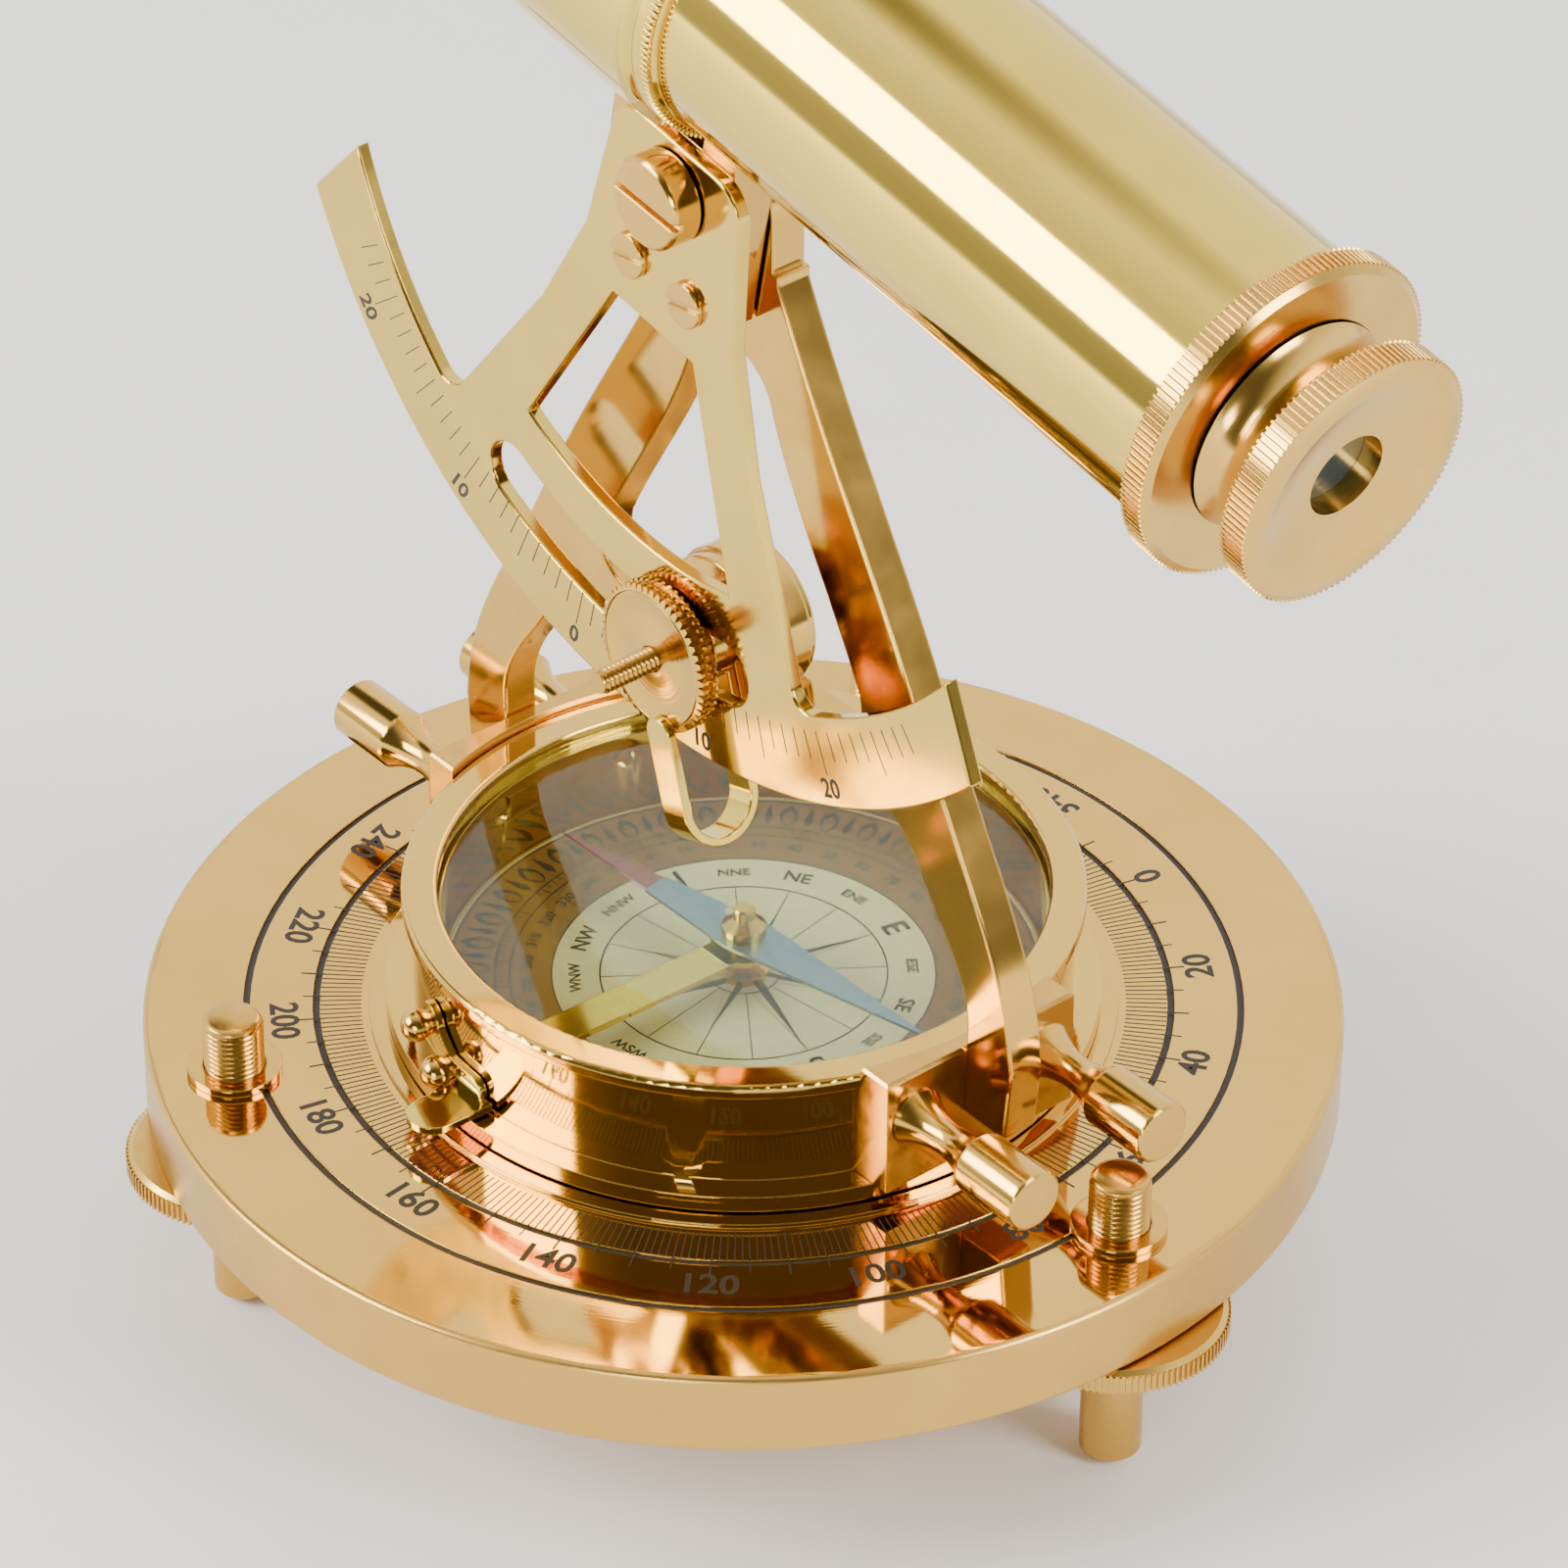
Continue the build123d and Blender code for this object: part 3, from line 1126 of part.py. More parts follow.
with BuildPart() as field_lens:
    revolve(
        outline(
            tilted(0),
            (DRAW_START + 1, AXIS_UP),
            (DRAW_START + 1, AXIS_UP + DRAW_R - DRAW_WALL - FIT),
            (DRAW_START + 1 + EYE_LENS_T, AXIS_UP + DRAW_R - DRAW_WALL - FIT),
            (DRAW_START + 1 + EYE_LENS_T, AXIS_UP),
        ),
        axis=OPTICAL_AXIS,
    )
save(field_lens, "field_lens")
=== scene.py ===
"""Looks of the brass sextant: turned and polished metal, engraved scales, dial and glass."""

import math

import bmesh
import bpy
from mathutils import Matrix, Vector


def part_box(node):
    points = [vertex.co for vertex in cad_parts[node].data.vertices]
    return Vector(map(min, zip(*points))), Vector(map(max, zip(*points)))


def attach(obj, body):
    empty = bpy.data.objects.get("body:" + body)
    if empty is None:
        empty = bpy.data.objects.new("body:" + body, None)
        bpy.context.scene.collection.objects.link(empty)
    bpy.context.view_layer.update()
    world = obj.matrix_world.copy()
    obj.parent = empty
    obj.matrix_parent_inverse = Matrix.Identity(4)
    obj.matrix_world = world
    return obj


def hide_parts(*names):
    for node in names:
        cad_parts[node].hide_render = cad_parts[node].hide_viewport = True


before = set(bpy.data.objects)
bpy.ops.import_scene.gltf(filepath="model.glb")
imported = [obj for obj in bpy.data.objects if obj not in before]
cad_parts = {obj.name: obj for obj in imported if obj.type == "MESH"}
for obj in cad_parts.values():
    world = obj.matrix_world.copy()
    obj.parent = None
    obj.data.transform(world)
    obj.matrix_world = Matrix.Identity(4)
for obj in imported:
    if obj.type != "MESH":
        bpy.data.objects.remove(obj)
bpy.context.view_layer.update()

MM = 0.001
ORIGIN = Vector((0, 0, 0))
UP = Vector((0, 0, 1))
TO_FRONT = Vector((0, -1, 0))
# Faces that meet at more than this many degrees show a sharp edge.
CREASE = 32
# Corners closer than this, in millimetres, are one corner.
SAME_POINT = 0.002

# --- Sizes of the frame, in millimetres ---
# How far the raised face that the head turns over stands above the base plate.
BEARING_RISE = 0.5
PLATE_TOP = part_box("base_plate")[1].z / MM - BEARING_RISE
PLATE_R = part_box("base_plate")[1].y / MM
DIAL_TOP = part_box("compass_dial")[1].z / MM
DIAL_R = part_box("compass_dial")[1].x / MM
PIVOT = (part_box("pivot_bolt")[0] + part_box("pivot_bolt")[1]) / (2 * MM)
PIVOT.y = 0
# At rest the eyepiece is the low end, by the tilt, and the optical axis passes above the pivot.
TILT = math.radians(10.64)
ALONG = Vector((math.cos(TILT), 0, -math.sin(TILT)))
UPRIGHT = Vector((math.sin(TILT), 0, math.cos(TILT)))
AXIS_UP = 25.9
AXIS_AT = PIVOT + UPRIGHT * AXIS_UP
ARC_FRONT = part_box("arc_plate")[0].y / MM


# ------------------------------------------------------------------ small tools
def linear(code):
    """An sRGB hex colour as the linear RGBA that sockets take."""
    channels = [int(code[i : i + 2], 16) / 255 for i in (1, 3, 5)]
    return tuple(c / 12.92 if c <= 0.04045 else ((c + 0.055) / 1.055) ** 2.4 for c in channels) + (1.0,)


def add(tree, kind, links=None, **settings):
    """A node of a tree, with its settings, socket values and links by input name or number."""
    made = tree.nodes.new(kind)
    for name, value in settings.items():
        setattr(made, name, value)
    for key, value in (links or {}).items():
        socket = made.inputs[key]
        if isinstance(value, bpy.types.NodeSocket):
            tree.links.new(value, socket)
        else:
            socket.default_value = value
    return made


def new_material(name):
    """An empty material with its output, and its tree."""
    made = bpy.data.materials.new(name)
    made.use_nodes = True
    made.node_tree.nodes.clear()
    return made, made.node_tree


def put_out(tree, shader):
    """The shader joined to the material's output."""
    add(tree, "ShaderNodeOutputMaterial", {"Surface": shader})


def merged(name, source):
    """A mesh object made from a mesh whose loose triangles are joined."""
    mesh = source.data.copy()
    shell = bmesh.new()
    shell.from_mesh(mesh)
    bmesh.ops.remove_doubles(shell, verts=shell.verts, dist=SAME_POINT * MM)
    bmesh.ops.dissolve_degenerate(shell, edges=shell.edges, dist=SAME_POINT / 2 * MM)
    shell.to_mesh(mesh)
    shell.free()
    return show(name, mesh)


def show(name, mesh):
    """An object for a mesh, linked to the scene."""
    made = bpy.data.objects.new(name, mesh)
    bpy.context.scene.collection.objects.link(made)
    return made


def soften(piece, angle=CREASE):
    """Smooth shading, with sharp edges kept where faces meet at more than the angle."""
    piece.data.shade_smooth()
    piece.data.set_sharp_from_angle(angle=math.radians(angle))
    return piece


def dress(piece, material, body, slot, *nodes):
    """Material, body and replaced nodes of a finished piece; the finish slot is not used."""
    piece.data.materials.clear()
    piece.data.materials.append(material)
    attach(piece, body)
    if nodes:
        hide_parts(*nodes)
    return piece


def plane_matrix(origin, x_dir, normal):
    """Matrix that puts a flat drawing, in millimetres, on a plane of the frame."""
    x_dir = Vector(x_dir).normalized()
    normal = Vector(normal).normalized()
    y_dir = normal.cross(x_dir)
    turn = Matrix((x_dir, y_dir, normal)).transposed().to_4x4()
    return Matrix.Translation(Vector(origin) * MM) @ turn @ Matrix.Scale(MM, 4)


def turned(name, outline, origin, axis, segments=160):
    """Lathe work: a closed outline of (along, radius) points, in millimetres, spun about an axis."""
    side = Vector(axis).orthogonal().normalized()
    other = Vector(axis).normalized().cross(side)
    shell = bmesh.new()
    rings = []
    for along, radius in outline:
        spots = []
        for i in range(segments if radius > 0 else 1):
            turn = 2 * math.pi * i / segments
            spoke = side * math.cos(turn) + other * math.sin(turn)
            spots.append(shell.verts.new((Vector(origin) + Vector(axis) * along + spoke * radius) * MM))
        rings.append(spots)
    for low, high in zip(rings, rings[1:] + rings[:1]):
        if len(low) == 1 and len(high) == 1:
            continue
        for i in range(segments):
            j = (i + 1) % segments
            corners = [low[i % len(low)], low[j % len(low)], high[j % len(high)], high[i % len(high)]]
            shell.faces.new(list(dict.fromkeys(corners)))
    bmesh.ops.recalc_face_normals(shell, faces=shell.faces)
    mesh = bpy.data.meshes.new(name)
    shell.to_mesh(mesh)
    shell.free()
    return soften(show(name, mesh))


# ------------------------------------------------------------------ repeated pieces
def round_tree():
    """Geometry nodes that set copies of a piece round a circle, each turned to face outwards."""
    tree = bpy.data.node_groups.new("set_round", "GeometryNodeTree")
    sockets = tree.interface
    sockets.new_socket("Geometry", in_out="OUTPUT", socket_type="NodeSocketGeometry")
    sockets.new_socket("Piece", in_out="INPUT", socket_type="NodeSocketObject")
    sockets.new_socket("Count", in_out="INPUT", socket_type="NodeSocketInt")
    sockets.new_socket("Radius", in_out="INPUT", socket_type="NodeSocketFloat")
    sockets.new_socket("First", in_out="INPUT", socket_type="NodeSocketFloat")
    sockets.new_socket("Step", in_out="INPUT", socket_type="NodeSocketFloat")
    sockets.new_socket("Material", in_out="INPUT", socket_type="NodeSocketMaterial")
    given = add(tree, "NodeGroupInput").outputs
    points = add(tree, "GeometryNodeMeshLine", {"Count": given["Count"]}).outputs["Mesh"]
    index = add(tree, "GeometryNodeInputIndex").outputs[0]
    turn = add(
        tree,
        "ShaderNodeMath",
        {0: index, 1: given["Step"], 2: given["First"]},
        operation="MULTIPLY_ADD",
    ).outputs[0]
    cosine = add(tree, "ShaderNodeMath", {0: turn}, operation="COSINE").outputs[0]
    sine = add(tree, "ShaderNodeMath", {0: turn}, operation="SINE").outputs[0]
    spoke = add(tree, "ShaderNodeCombineXYZ", {"X": cosine, "Y": sine}).outputs[0]
    spot = add(
        tree, "ShaderNodeVectorMath", {0: spoke, "Scale": given["Radius"]}, operation="SCALE"
    ).outputs[0]
    placed = add(tree, "GeometryNodeSetPosition", {"Geometry": points, "Position": spot}).outputs[0]
    facing = add(tree, "ShaderNodeCombineXYZ", {"Z": turn}).outputs[0]
    piece = add(tree, "GeometryNodeObjectInfo", {"Object": given["Piece"]}).outputs["Geometry"]
    copies = add(
        tree, "GeometryNodeInstanceOnPoints", {"Points": placed, "Instance": piece, "Rotation": facing}
    ).outputs[0]
    real = add(tree, "GeometryNodeRealizeInstances", {"Geometry": copies}).outputs[0]
    dressed = add(
        tree, "GeometryNodeSetMaterial", {"Geometry": real, "Material": given["Material"]}
    ).outputs[0]
    add(tree, "NodeGroupOutput", {"Geometry": dressed})
    return tree


ROUND = round_tree()


def set_round(name, pattern, count, radius, first, step, material, place):
    """A plain mesh of copies of a pattern round a circle, in millimetres, put in place by a matrix."""
    holder = show(name + "_holder", bpy.data.meshes.new(name + "_holder"))
    modifier = holder.modifiers.new("set_round", "NODES")
    modifier.node_group = ROUND
    values = {
        "Piece": pattern,
        "Count": count,
        "Radius": radius,
        "First": math.radians(first),
        "Step": math.radians(step),
        "Material": material,
    }
    for socket in ROUND.interface.items_tree:
        if socket.in_out == "INPUT":
            modifier[socket.identifier] = values[socket.name]
    graph = bpy.context.evaluated_depsgraph_get()
    mesh = bpy.data.meshes.new_from_object(holder.evaluated_get(graph))
    bpy.data.objects.remove(holder)
    bpy.data.objects.remove(pattern)
    mesh.transform(place)
    return mesh


def block(low, high):
    """A rectangular pattern piece between two corners, in millimetres."""
    shell = bmesh.new()
    bmesh.ops.create_cube(shell, size=1)
    middle = [(a + b) / 2 for a, b in zip(low, high)]
    sizes = [b - a for a, b in zip(low, high)]
    for v in shell.verts:
        v.co = Vector(m + s * c for m, s, c in zip(middle, sizes, v.co))
    mesh = bpy.data.meshes.new("block")
    shell.to_mesh(mesh)
    shell.free()
    return show("block", mesh)


def flat_shape(points, lift):
    """A thin flat pattern piece with the given outline, in millimetres, from 0 up to lift."""
    shell = bmesh.new()
    face = shell.faces.new([shell.verts.new((x, y, 0)) for x, y in points])
    raised = bmesh.ops.extrude_face_region(shell, geom=[face])["geom"]
    for v in raised:
        if isinstance(v, bmesh.types.BMVert):
            v.co.z += lift
    bmesh.ops.recalc_face_normals(shell, faces=shell.faces)
    mesh = bpy.data.meshes.new("flat")
    shell.to_mesh(mesh)
    shell.free()
    return show("flat", mesh)


def ribbon(points, width, lift):
    """A thin flat stroke along points, tapering to its ends, as a pattern piece."""
    left, right = [], []
    for i, spot in enumerate(points):
        before, after = points[max(i - 1, 0)], points[min(i + 1, len(points) - 1)]
        dx, dy = after[0] - before[0], after[1] - before[1]
        length = math.hypot(dx, dy)
        share = i / (len(points) - 1)
        half = width / 2 * (0.25 + 0.75 * math.sin(math.pi * min(share * 1.3, 1)))
        left.append((spot[0] - dy / length * half, spot[1] + dx / length * half))
        right.append((spot[0] + dy / length * half, spot[1] - dx / length * half))
    return flat_shape(left + right[::-1], lift)


def strokes(name, size, count, radius, first, step, material, place):
    """Straight strokes set round a circle, pointing at its middle; size is (length, width, height)."""
    length, width, height = size
    stroke = block((-length / 2, -width / 2, 0), (length / 2, width / 2, height))
    return set_round(name, stroke, count, radius, first, step, material, place)


def flat_ring(name, inner, outer, base, top, origin, segments):
    """A level ring between two radii and two heights, in millimetres."""
    return turned(name, [(base, inner), (base, outer), (top, outer), (top, inner)], origin, UP, segments)


def joined(name, meshes):
    """One object from several meshes that are already in place."""
    shell = bmesh.new()
    for mesh in meshes:
        shell.from_mesh(mesh)
    whole = bpy.data.meshes.new(name)
    shell.to_mesh(whole)
    shell.free()
    return show(name, whole)


# Turns that point the top of a text at the circle's middle, or away from it.
TOP_INWARDS = 90
TOP_OUTWARDS = -90
# The font's size and the added boldness of its lines, for capitals one unit high.
CAPITAL = 1.4
BOLDER = 0.03


def on_circle(text, height, radius, degrees, turn):
    """A text for lettering(), with its middle on a circle and turned from its own bearing."""
    bearing = math.radians(degrees)
    return text, height, radius * math.cos(bearing), radius * math.sin(bearing), degrees + turn


def lettering(words, lift, place):
    """Meshes of short texts on a plane; each is (text, height, x, y, degrees), in millimetres."""
    meshes = []
    for text, height, x, y, degrees in words:
        curve = bpy.data.curves.new("text", "FONT")
        curve.body = text
        curve.align_x = "CENTER"
        curve.align_y = "CENTER"
        curve.size = height * CAPITAL
        curve.extrude = lift / 2
        curve.offset = height * BOLDER
        curve.resolution_u = 3
        letters = show("text", curve)
        bpy.context.view_layer.update()
        graph = bpy.context.evaluated_depsgraph_get()
        mesh = bpy.data.meshes.new_from_object(letters.evaluated_get(graph))
        bpy.data.objects.remove(letters)
        spot = Matrix.Translation((x, y, lift / 2)) @ Matrix.Rotation(math.radians(degrees), 4, "Z")
        mesh.transform(place @ spot)
        meshes.append(mesh)
    return meshes


# Screw threads: corners round the screw, rows of them in a turn, and depth as a part of the pitch.
THREAD_SIDES = 48
THREAD_ROWS = 6
THREAD_DEPTH = 0.42
THREAD_CREASE = 50


def threaded(name, centre, axis, radius, start, end, pitch):
    """A screw thread: a helix of V grooves along an axis, in millimetres, closed at both ends."""
    side = Vector(axis).orthogonal().normalized()
    other = Vector(axis).cross(side)
    rows = max(4, int((end - start) / pitch * THREAD_ROWS))
    depth = pitch * THREAD_DEPTH
    shell = bmesh.new()
    grid = []
    for row in range(rows + 1):
        along = start + (end - start) * row / rows
        # The crests sink to the bottom of the groove over the last turn.
        crest = max(0, min(1, (end - along) / pitch))
        ring = []
        for i in range(THREAD_SIDES):
            turn = 2 * math.pi * i / THREAD_SIDES
            phase = (along / pitch - i / THREAD_SIDES) % 1
            groove = abs(2 * phase - 1)
            local = radius - depth * (1 - crest * (1 - groove))
            spoke = side * math.cos(turn) + other * math.sin(turn)
            ring.append(shell.verts.new((Vector(centre) + Vector(axis) * along + spoke * local) * MM))
        grid.append(ring)
    for low, high in zip(grid, grid[1:]):
        for i in range(THREAD_SIDES):
            j = (i + 1) % THREAD_SIDES
            shell.faces.new((low[i], low[j], high[j], high[i]))
    shell.faces.new(grid[0][::-1])
    shell.faces.new(grid[-1])
    bmesh.ops.recalc_face_normals(shell, faces=shell.faces)
    mesh = bpy.data.meshes.new(name)
    shell.to_mesh(mesh)
    shell.free()
    return soften(show(name, mesh), THREAD_CREASE)


# ------------------------------------------------------------------ materials
# Polishing lines are noise drawn out across one direction, and are this deep.
LINE_STRETCH = (1.0, 12.0, 2.0)
LINE_TURN = (0.4, 0.2, 0.7)
LINE_LENGTH = 6
LINE_DEPTH = 0.02
LINE_STRENGTH = 0.04


def brass(
    name,
    light,
    dark,
    gloss,
    blotch=9.0,
    scratch=0.35,
    rings=None,
    ring_gap=0.35,
    ring_depth=0.012,
    edge=0.3,
):
    """Brass, an alloy with a warm yellow reflection, from two colours and a range of roughness.

    Smudges about blotch mm wide vary its colour and gloss, and fine polishing lines of scratch mm
    cross it. On a turned piece, tool marks ring_gap mm apart and ring_depth mm deep run round the
    axis that rings gives as (point, direction). Its corners shine as if rounded to edge mm.
    """
    made, tree = new_material(name)
    place = add(tree, "ShaderNodeTexCoord").outputs["Object"]
    smudge = add(
        tree,
        "ShaderNodeTexNoise",
        {"Vector": place, "Scale": 1 / (blotch * MM), "Detail": 4.0, "Roughness": 0.6},
    ).outputs["Fac"]
    colour = add(
        tree,
        "ShaderNodeMix",
        {0: smudge, 6: linear(light), 7: linear(dark)},
        data_type="RGBA",
    ).outputs[2]
    rough = add(
        tree,
        "ShaderNodeMapRange",
        {"Value": smudge, "From Min": 0.3, "From Max": 0.75, "To Min": gloss[0], "To Max": gloss[1]},
    ).outputs[0]
    stretched = add(
        tree, "ShaderNodeMapping", {"Vector": place, "Scale": LINE_STRETCH, "Rotation": LINE_TURN}
    ).outputs[0]
    lines = add(
        tree,
        "ShaderNodeTexNoise",
        {"Vector": stretched, "Scale": 1 / (scratch * LINE_LENGTH * MM), "Detail": 3.0},
    ).outputs["Fac"]
    rounded = add(tree, "ShaderNodeBevel", {"Radius": edge * MM}, samples=4).outputs[0]
    relief = add(
        tree,
        "ShaderNodeBump",
        {"Height": lines, "Normal": rounded, "Strength": LINE_STRENGTH, "Distance": LINE_DEPTH * MM},
    ).outputs[0]
    if rings:
        point, direction = rings
        offset = add(
            tree, "ShaderNodeVectorMath", {0: place, 1: Vector(point) * MM}, operation="SUBTRACT"
        ).outputs[0]
        height = add(
            tree, "ShaderNodeVectorMath", {0: offset, 1: Vector(direction)}, operation="DOT_PRODUCT"
        ).outputs["Value"]
        away = add(
            tree, "ShaderNodeVectorMath", {0: offset, 1: Vector(direction)}, operation="CROSS_PRODUCT"
        ).outputs[0]
        reach = add(tree, "ShaderNodeVectorMath", {0: away}, operation="LENGTH").outputs["Value"]
        # The same marks serve both the sides and the ends of a turned piece.
        path = add(tree, "ShaderNodeMath", {0: height, 1: reach}, operation="ADD").outputs[0]
        marks = add(
            tree,
            "ShaderNodeTexNoise",
            {"W": path, "Scale": 1 / (ring_gap * MM), "Detail": 2.0},
            noise_dimensions="1D",
        ).outputs["Fac"]
        relief = add(
            tree,
            "ShaderNodeBump",
            {"Height": marks, "Normal": relief, "Strength": 1.0, "Distance": ring_depth * MM},
        ).outputs[0]
    shader = add(
        tree,
        "ShaderNodeBsdfPrincipled",
        {"Base Color": colour, "Metallic": 1.0, "Roughness": rough, "Normal": relief},
    ).outputs[0]
    put_out(tree, shader)
    return made


def plain(name, colour, rough, metallic=0.0, coat=0.0, grain=0.5, depth=0.004):
    """A surface between two colours, its gloss and relief broken by a grain mm wide and depth mm deep."""
    made, tree = new_material(name)
    place = add(tree, "ShaderNodeTexCoord").outputs["Object"]
    specks = add(
        tree, "ShaderNodeTexNoise", {"Vector": place, "Scale": 1 / (grain * MM), "Detail": 3.0}
    ).outputs["Fac"]
    shade = add(
        tree,
        "ShaderNodeMix",
        {0: specks, 6: linear(colour[0]), 7: linear(colour[1])},
        data_type="RGBA",
    ).outputs[2]
    gloss = add(
        tree, "ShaderNodeMapRange", {"Value": specks, "To Min": rough * 0.8, "To Max": rough * 1.2}
    ).outputs[0]
    relief = add(
        tree, "ShaderNodeBump", {"Height": specks, "Strength": 0.3, "Distance": depth * MM}
    ).outputs[0]
    shader = add(
        tree,
        "ShaderNodeBsdfPrincipled",
        {
            "Base Color": shade,
            "Metallic": metallic,
            "Roughness": gloss,
            "Coat Weight": coat,
            "Normal": relief,
        },
    ).outputs[0]
    put_out(tree, shader)
    return made


# Smears on clean glass: how wide in millimetres, and how rough they make it.
SMEAR_WIDE = 14
SMEAR_ROUGH = 0.01
# Part of the light that passes straight through, so that what lies under the glass stays sharp.
STRAIGHT_THROUGH = 0.93


def clear_glass(name, tint):
    """Polished glass: clear, with a faint tint and sharp reflections."""
    made, tree = new_material(name)
    place = add(tree, "ShaderNodeTexCoord").outputs["Object"]
    film = add(
        tree, "ShaderNodeTexNoise", {"Vector": place, "Scale": 1 / (SMEAR_WIDE * MM), "Detail": 5.0}
    ).outputs["Fac"]
    haze = add(
        tree, "ShaderNodeMapRange", {"Value": film, "From Min": 0.5, "To Max": SMEAR_ROUGH}
    ).outputs[0]
    solid = add(
        tree,
        "ShaderNodeBsdfPrincipled",
        {"Base Color": linear(tint), "Roughness": haze, "IOR": 1.45, "Transmission Weight": 1.0},
    ).outputs[0]
    passing = add(tree, "ShaderNodeBsdfTransparent", {"Color": linear(tint)}).outputs[0]
    shader = add(tree, "ShaderNodeMixShader", {0: STRAIGHT_THROUGH, 1: solid, 2: passing}).outputs[0]
    put_out(tree, shader)
    return made


# Axes that tool marks run round: the telescope's, the base's and the clamp nut's.
OPTICS = (AXIS_AT, ALONG)
POST = (ORIGIN, UP)
CLAMP = ((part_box("clamp_nut")[0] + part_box("clamp_nut")[1]) / (2 * MM), TO_FRONT)

# Drawn tube and rolled strip, buffed to a mirror: the yellowest pieces, with long clear reflections.
TUBE_BRASS = brass("drawn_tube_brass_buffed", "#E8CB5E", "#D8B547", (0.06, 0.12), blotch=22)
# Thick sheet, sawn to shape and buffed: yellow too, with a little less gloss.
PLATE_BRASS = brass(
    "sheet_brass_buffed", "#E3C35F", "#D1AC48", (0.08, 0.17), blotch=14, edge=0.25
)
# Castings have more copper: warmer, and buffed over small casting marks that blur them in spots.
CAST_BRASS = brass("cast_brass_buffed", "#DFB559", "#CA9B43", (0.07, 0.17), blotch=8, edge=0.45)
# Small pieces turned from rod and buffed: warm, bright and even.
TURNED_BRASS = brass(
    "turned_brass_buffed", "#E2BA5D", "#CEA246", (0.06, 0.12), blotch=10, edge=0.2
)
# The base plate's top, faced and lapped: a mirror that hardly shows the lathe's marks.
DECK_BRASS = brass(
    "base_plate_brass_buffed",
    "#E1B75D",
    "#D0A248",
    (0.035, 0.09),
    blotch=26,
    rings=POST,
    ring_depth=0.0015,
)
# The base plate's rim and its feet, left as turned: a satin that draws reflections out into bands.
RIM_BRASS = brass(
    "base_rim_brass_satin",
    "#DCB25D",
    "#C89B48",
    (0.24, 0.34),
    blotch=12,
    rings=POST,
    ring_gap=0.5,
    ring_depth=0.01,
)
# The compass box and its bezel, turned and buffed: bright, with marks that only just show.
BOX_BRASS = brass(
    "compass_box_brass_buffed",
    "#E4BD60",
    "#D2A649",
    (0.04, 0.1),
    blotch=18,
    rings=POST,
    ring_depth=0.002,
)
# The eyepiece, turned and knurled: satin rings round the optical axis. Its knurl is too fine to shine
# as rounded by more than a little, and the same goes for the other knurls and the threads.
EYE_BRASS = brass(
    "eyepiece_brass_turned",
    "#E0B861",
    "#CEA24C",
    (0.16, 0.24),
    blotch=8,
    rings=OPTICS,
    ring_gap=0.4,
    ring_depth=0.01,
    edge=0.06,
)
# The clamp nut, turned and beaded: satin, with coarse rings on its dished face.
NUT_BRASS = brass(
    "clamp_nut_brass_turned",
    "#DEB559",
    "#C99E44",
    (0.14, 0.22),
    blotch=6,
    rings=CLAMP,
    ring_gap=0.9,
    ring_depth=0.05,
    edge=0.06,
)
# The levelling wheels, turned and knurled: satin, and a little darker than the other turned brass.
WHEEL_BRASS = brass(
    "levelling_wheel_brass_turned", "#DBB35B", "#C79C47", (0.2, 0.3), blotch=6, edge=0.06
)
# The blocks that hold the frame, milled: uneven gloss under coarser lines.
SAWN_BRASS = brass("block_brass_milled", "#DAAD58", "#C29542", (0.12, 0.3), blotch=5, scratch=0.5)
# Cut threads: darker and duller than the other brass.
THREAD_BRASS = brass("brass_with_cut_thread", "#D8AB51", "#BC8F3D", (0.18, 0.3), blotch=4, edge=0.04)
# Steel tempered blue: a dull blue-grey metal.
BLUED_STEEL = plain("needle_steel_blued", ("#8E9FAE", "#7B8D9D"), 0.4, metallic=1.0)
# Brushed lacquer on the needle's point: deep red under a thin gloss.
RED_PAINT = plain("needle_tip_red_lacquer", ("#8A1F1A", "#6E1512"), 0.35, coat=0.4)
# Wax rubbed into engraving: brown-black, and only half dull.
BLACK_WAX = plain("engraving_black_wax", ("#1B1510", "#2A2018"), 0.55)
# Printing ink on enamel: a flat black.
BLACK_INK = plain("dial_black_ink", ("#15120E", "#211B14"), 0.5)
# Gold ink of the dial's outer ring: a flat warm brown that does not shine, a painted dark reflection in
# place of the shine of the gold.
GOLD_INK_PAINTED_DARK = plain("dial_gold_band_painted_dark", ("#8F6024", "#7E521B"), 0.7)
# Enamel yellowed by age: an even cream with a soft gloss.
ENAMEL = plain("dial_cream_enamel", ("#E8D7A0", "#DCC88A"), 0.55, grain=2.0)
# Matt paint inside the optics: black from every side.
BLACK_PAINT = plain("tube_inside_matt_black", ("#0E0D0C", "#171513"), 0.6)
# A coated lens over a dark tube: near black, painted shade that stands for the black paint and the unlit
# inside of the tube seen through clear glass, with one sharp reflection.
LENS_PAINTED_DARK = plain(
    "eye_lens_glass_painted_dark", ("#2B3436", "#353F40"), 0.06, coat=1.0, grain=6.0, depth=0.0005
)
# Window glass with a trace of green, seen mostly by its reflections.
GLASS = clear_glass("compass_window_glass", "#F3FAF6")
# Crown glass of the front lens, with a trace of blue.
FRONT_GLASS = clear_glass("objective_crown_glass", "#EEF6FA")
# Studio background paper: even, pale and dull.
FLOOR = plain("studio_floor_paper", ("#F2F1EF", "#EDECEA"), 0.7, grain=20.0)

# ------------------------------------------------------------------ camera and light
# The camera's bearing, rise and roll, and how far it stands from what it looks at, in millimetres.
VIEW_TURN = math.radians(50.0)
VIEW_RISE = math.radians(35.39)
VIEW_ROLL = math.radians(0.37)
VIEW_FAR = 915.7
# The middle of the deck stands this far beside and below the middle of the view.
VIEW_SIDE = -5.1
VIEW_LIFT = -26.5
FOCAL_IN_WIDTHS = 4.609
SENSOR = 36.0
# Sizes of the studio, in metres, and the spot that its lights face.
FAR_CLIP = 20
FLOOR_WIDE = 6
LIT_SPOT = Vector((0, 0, 0.1))
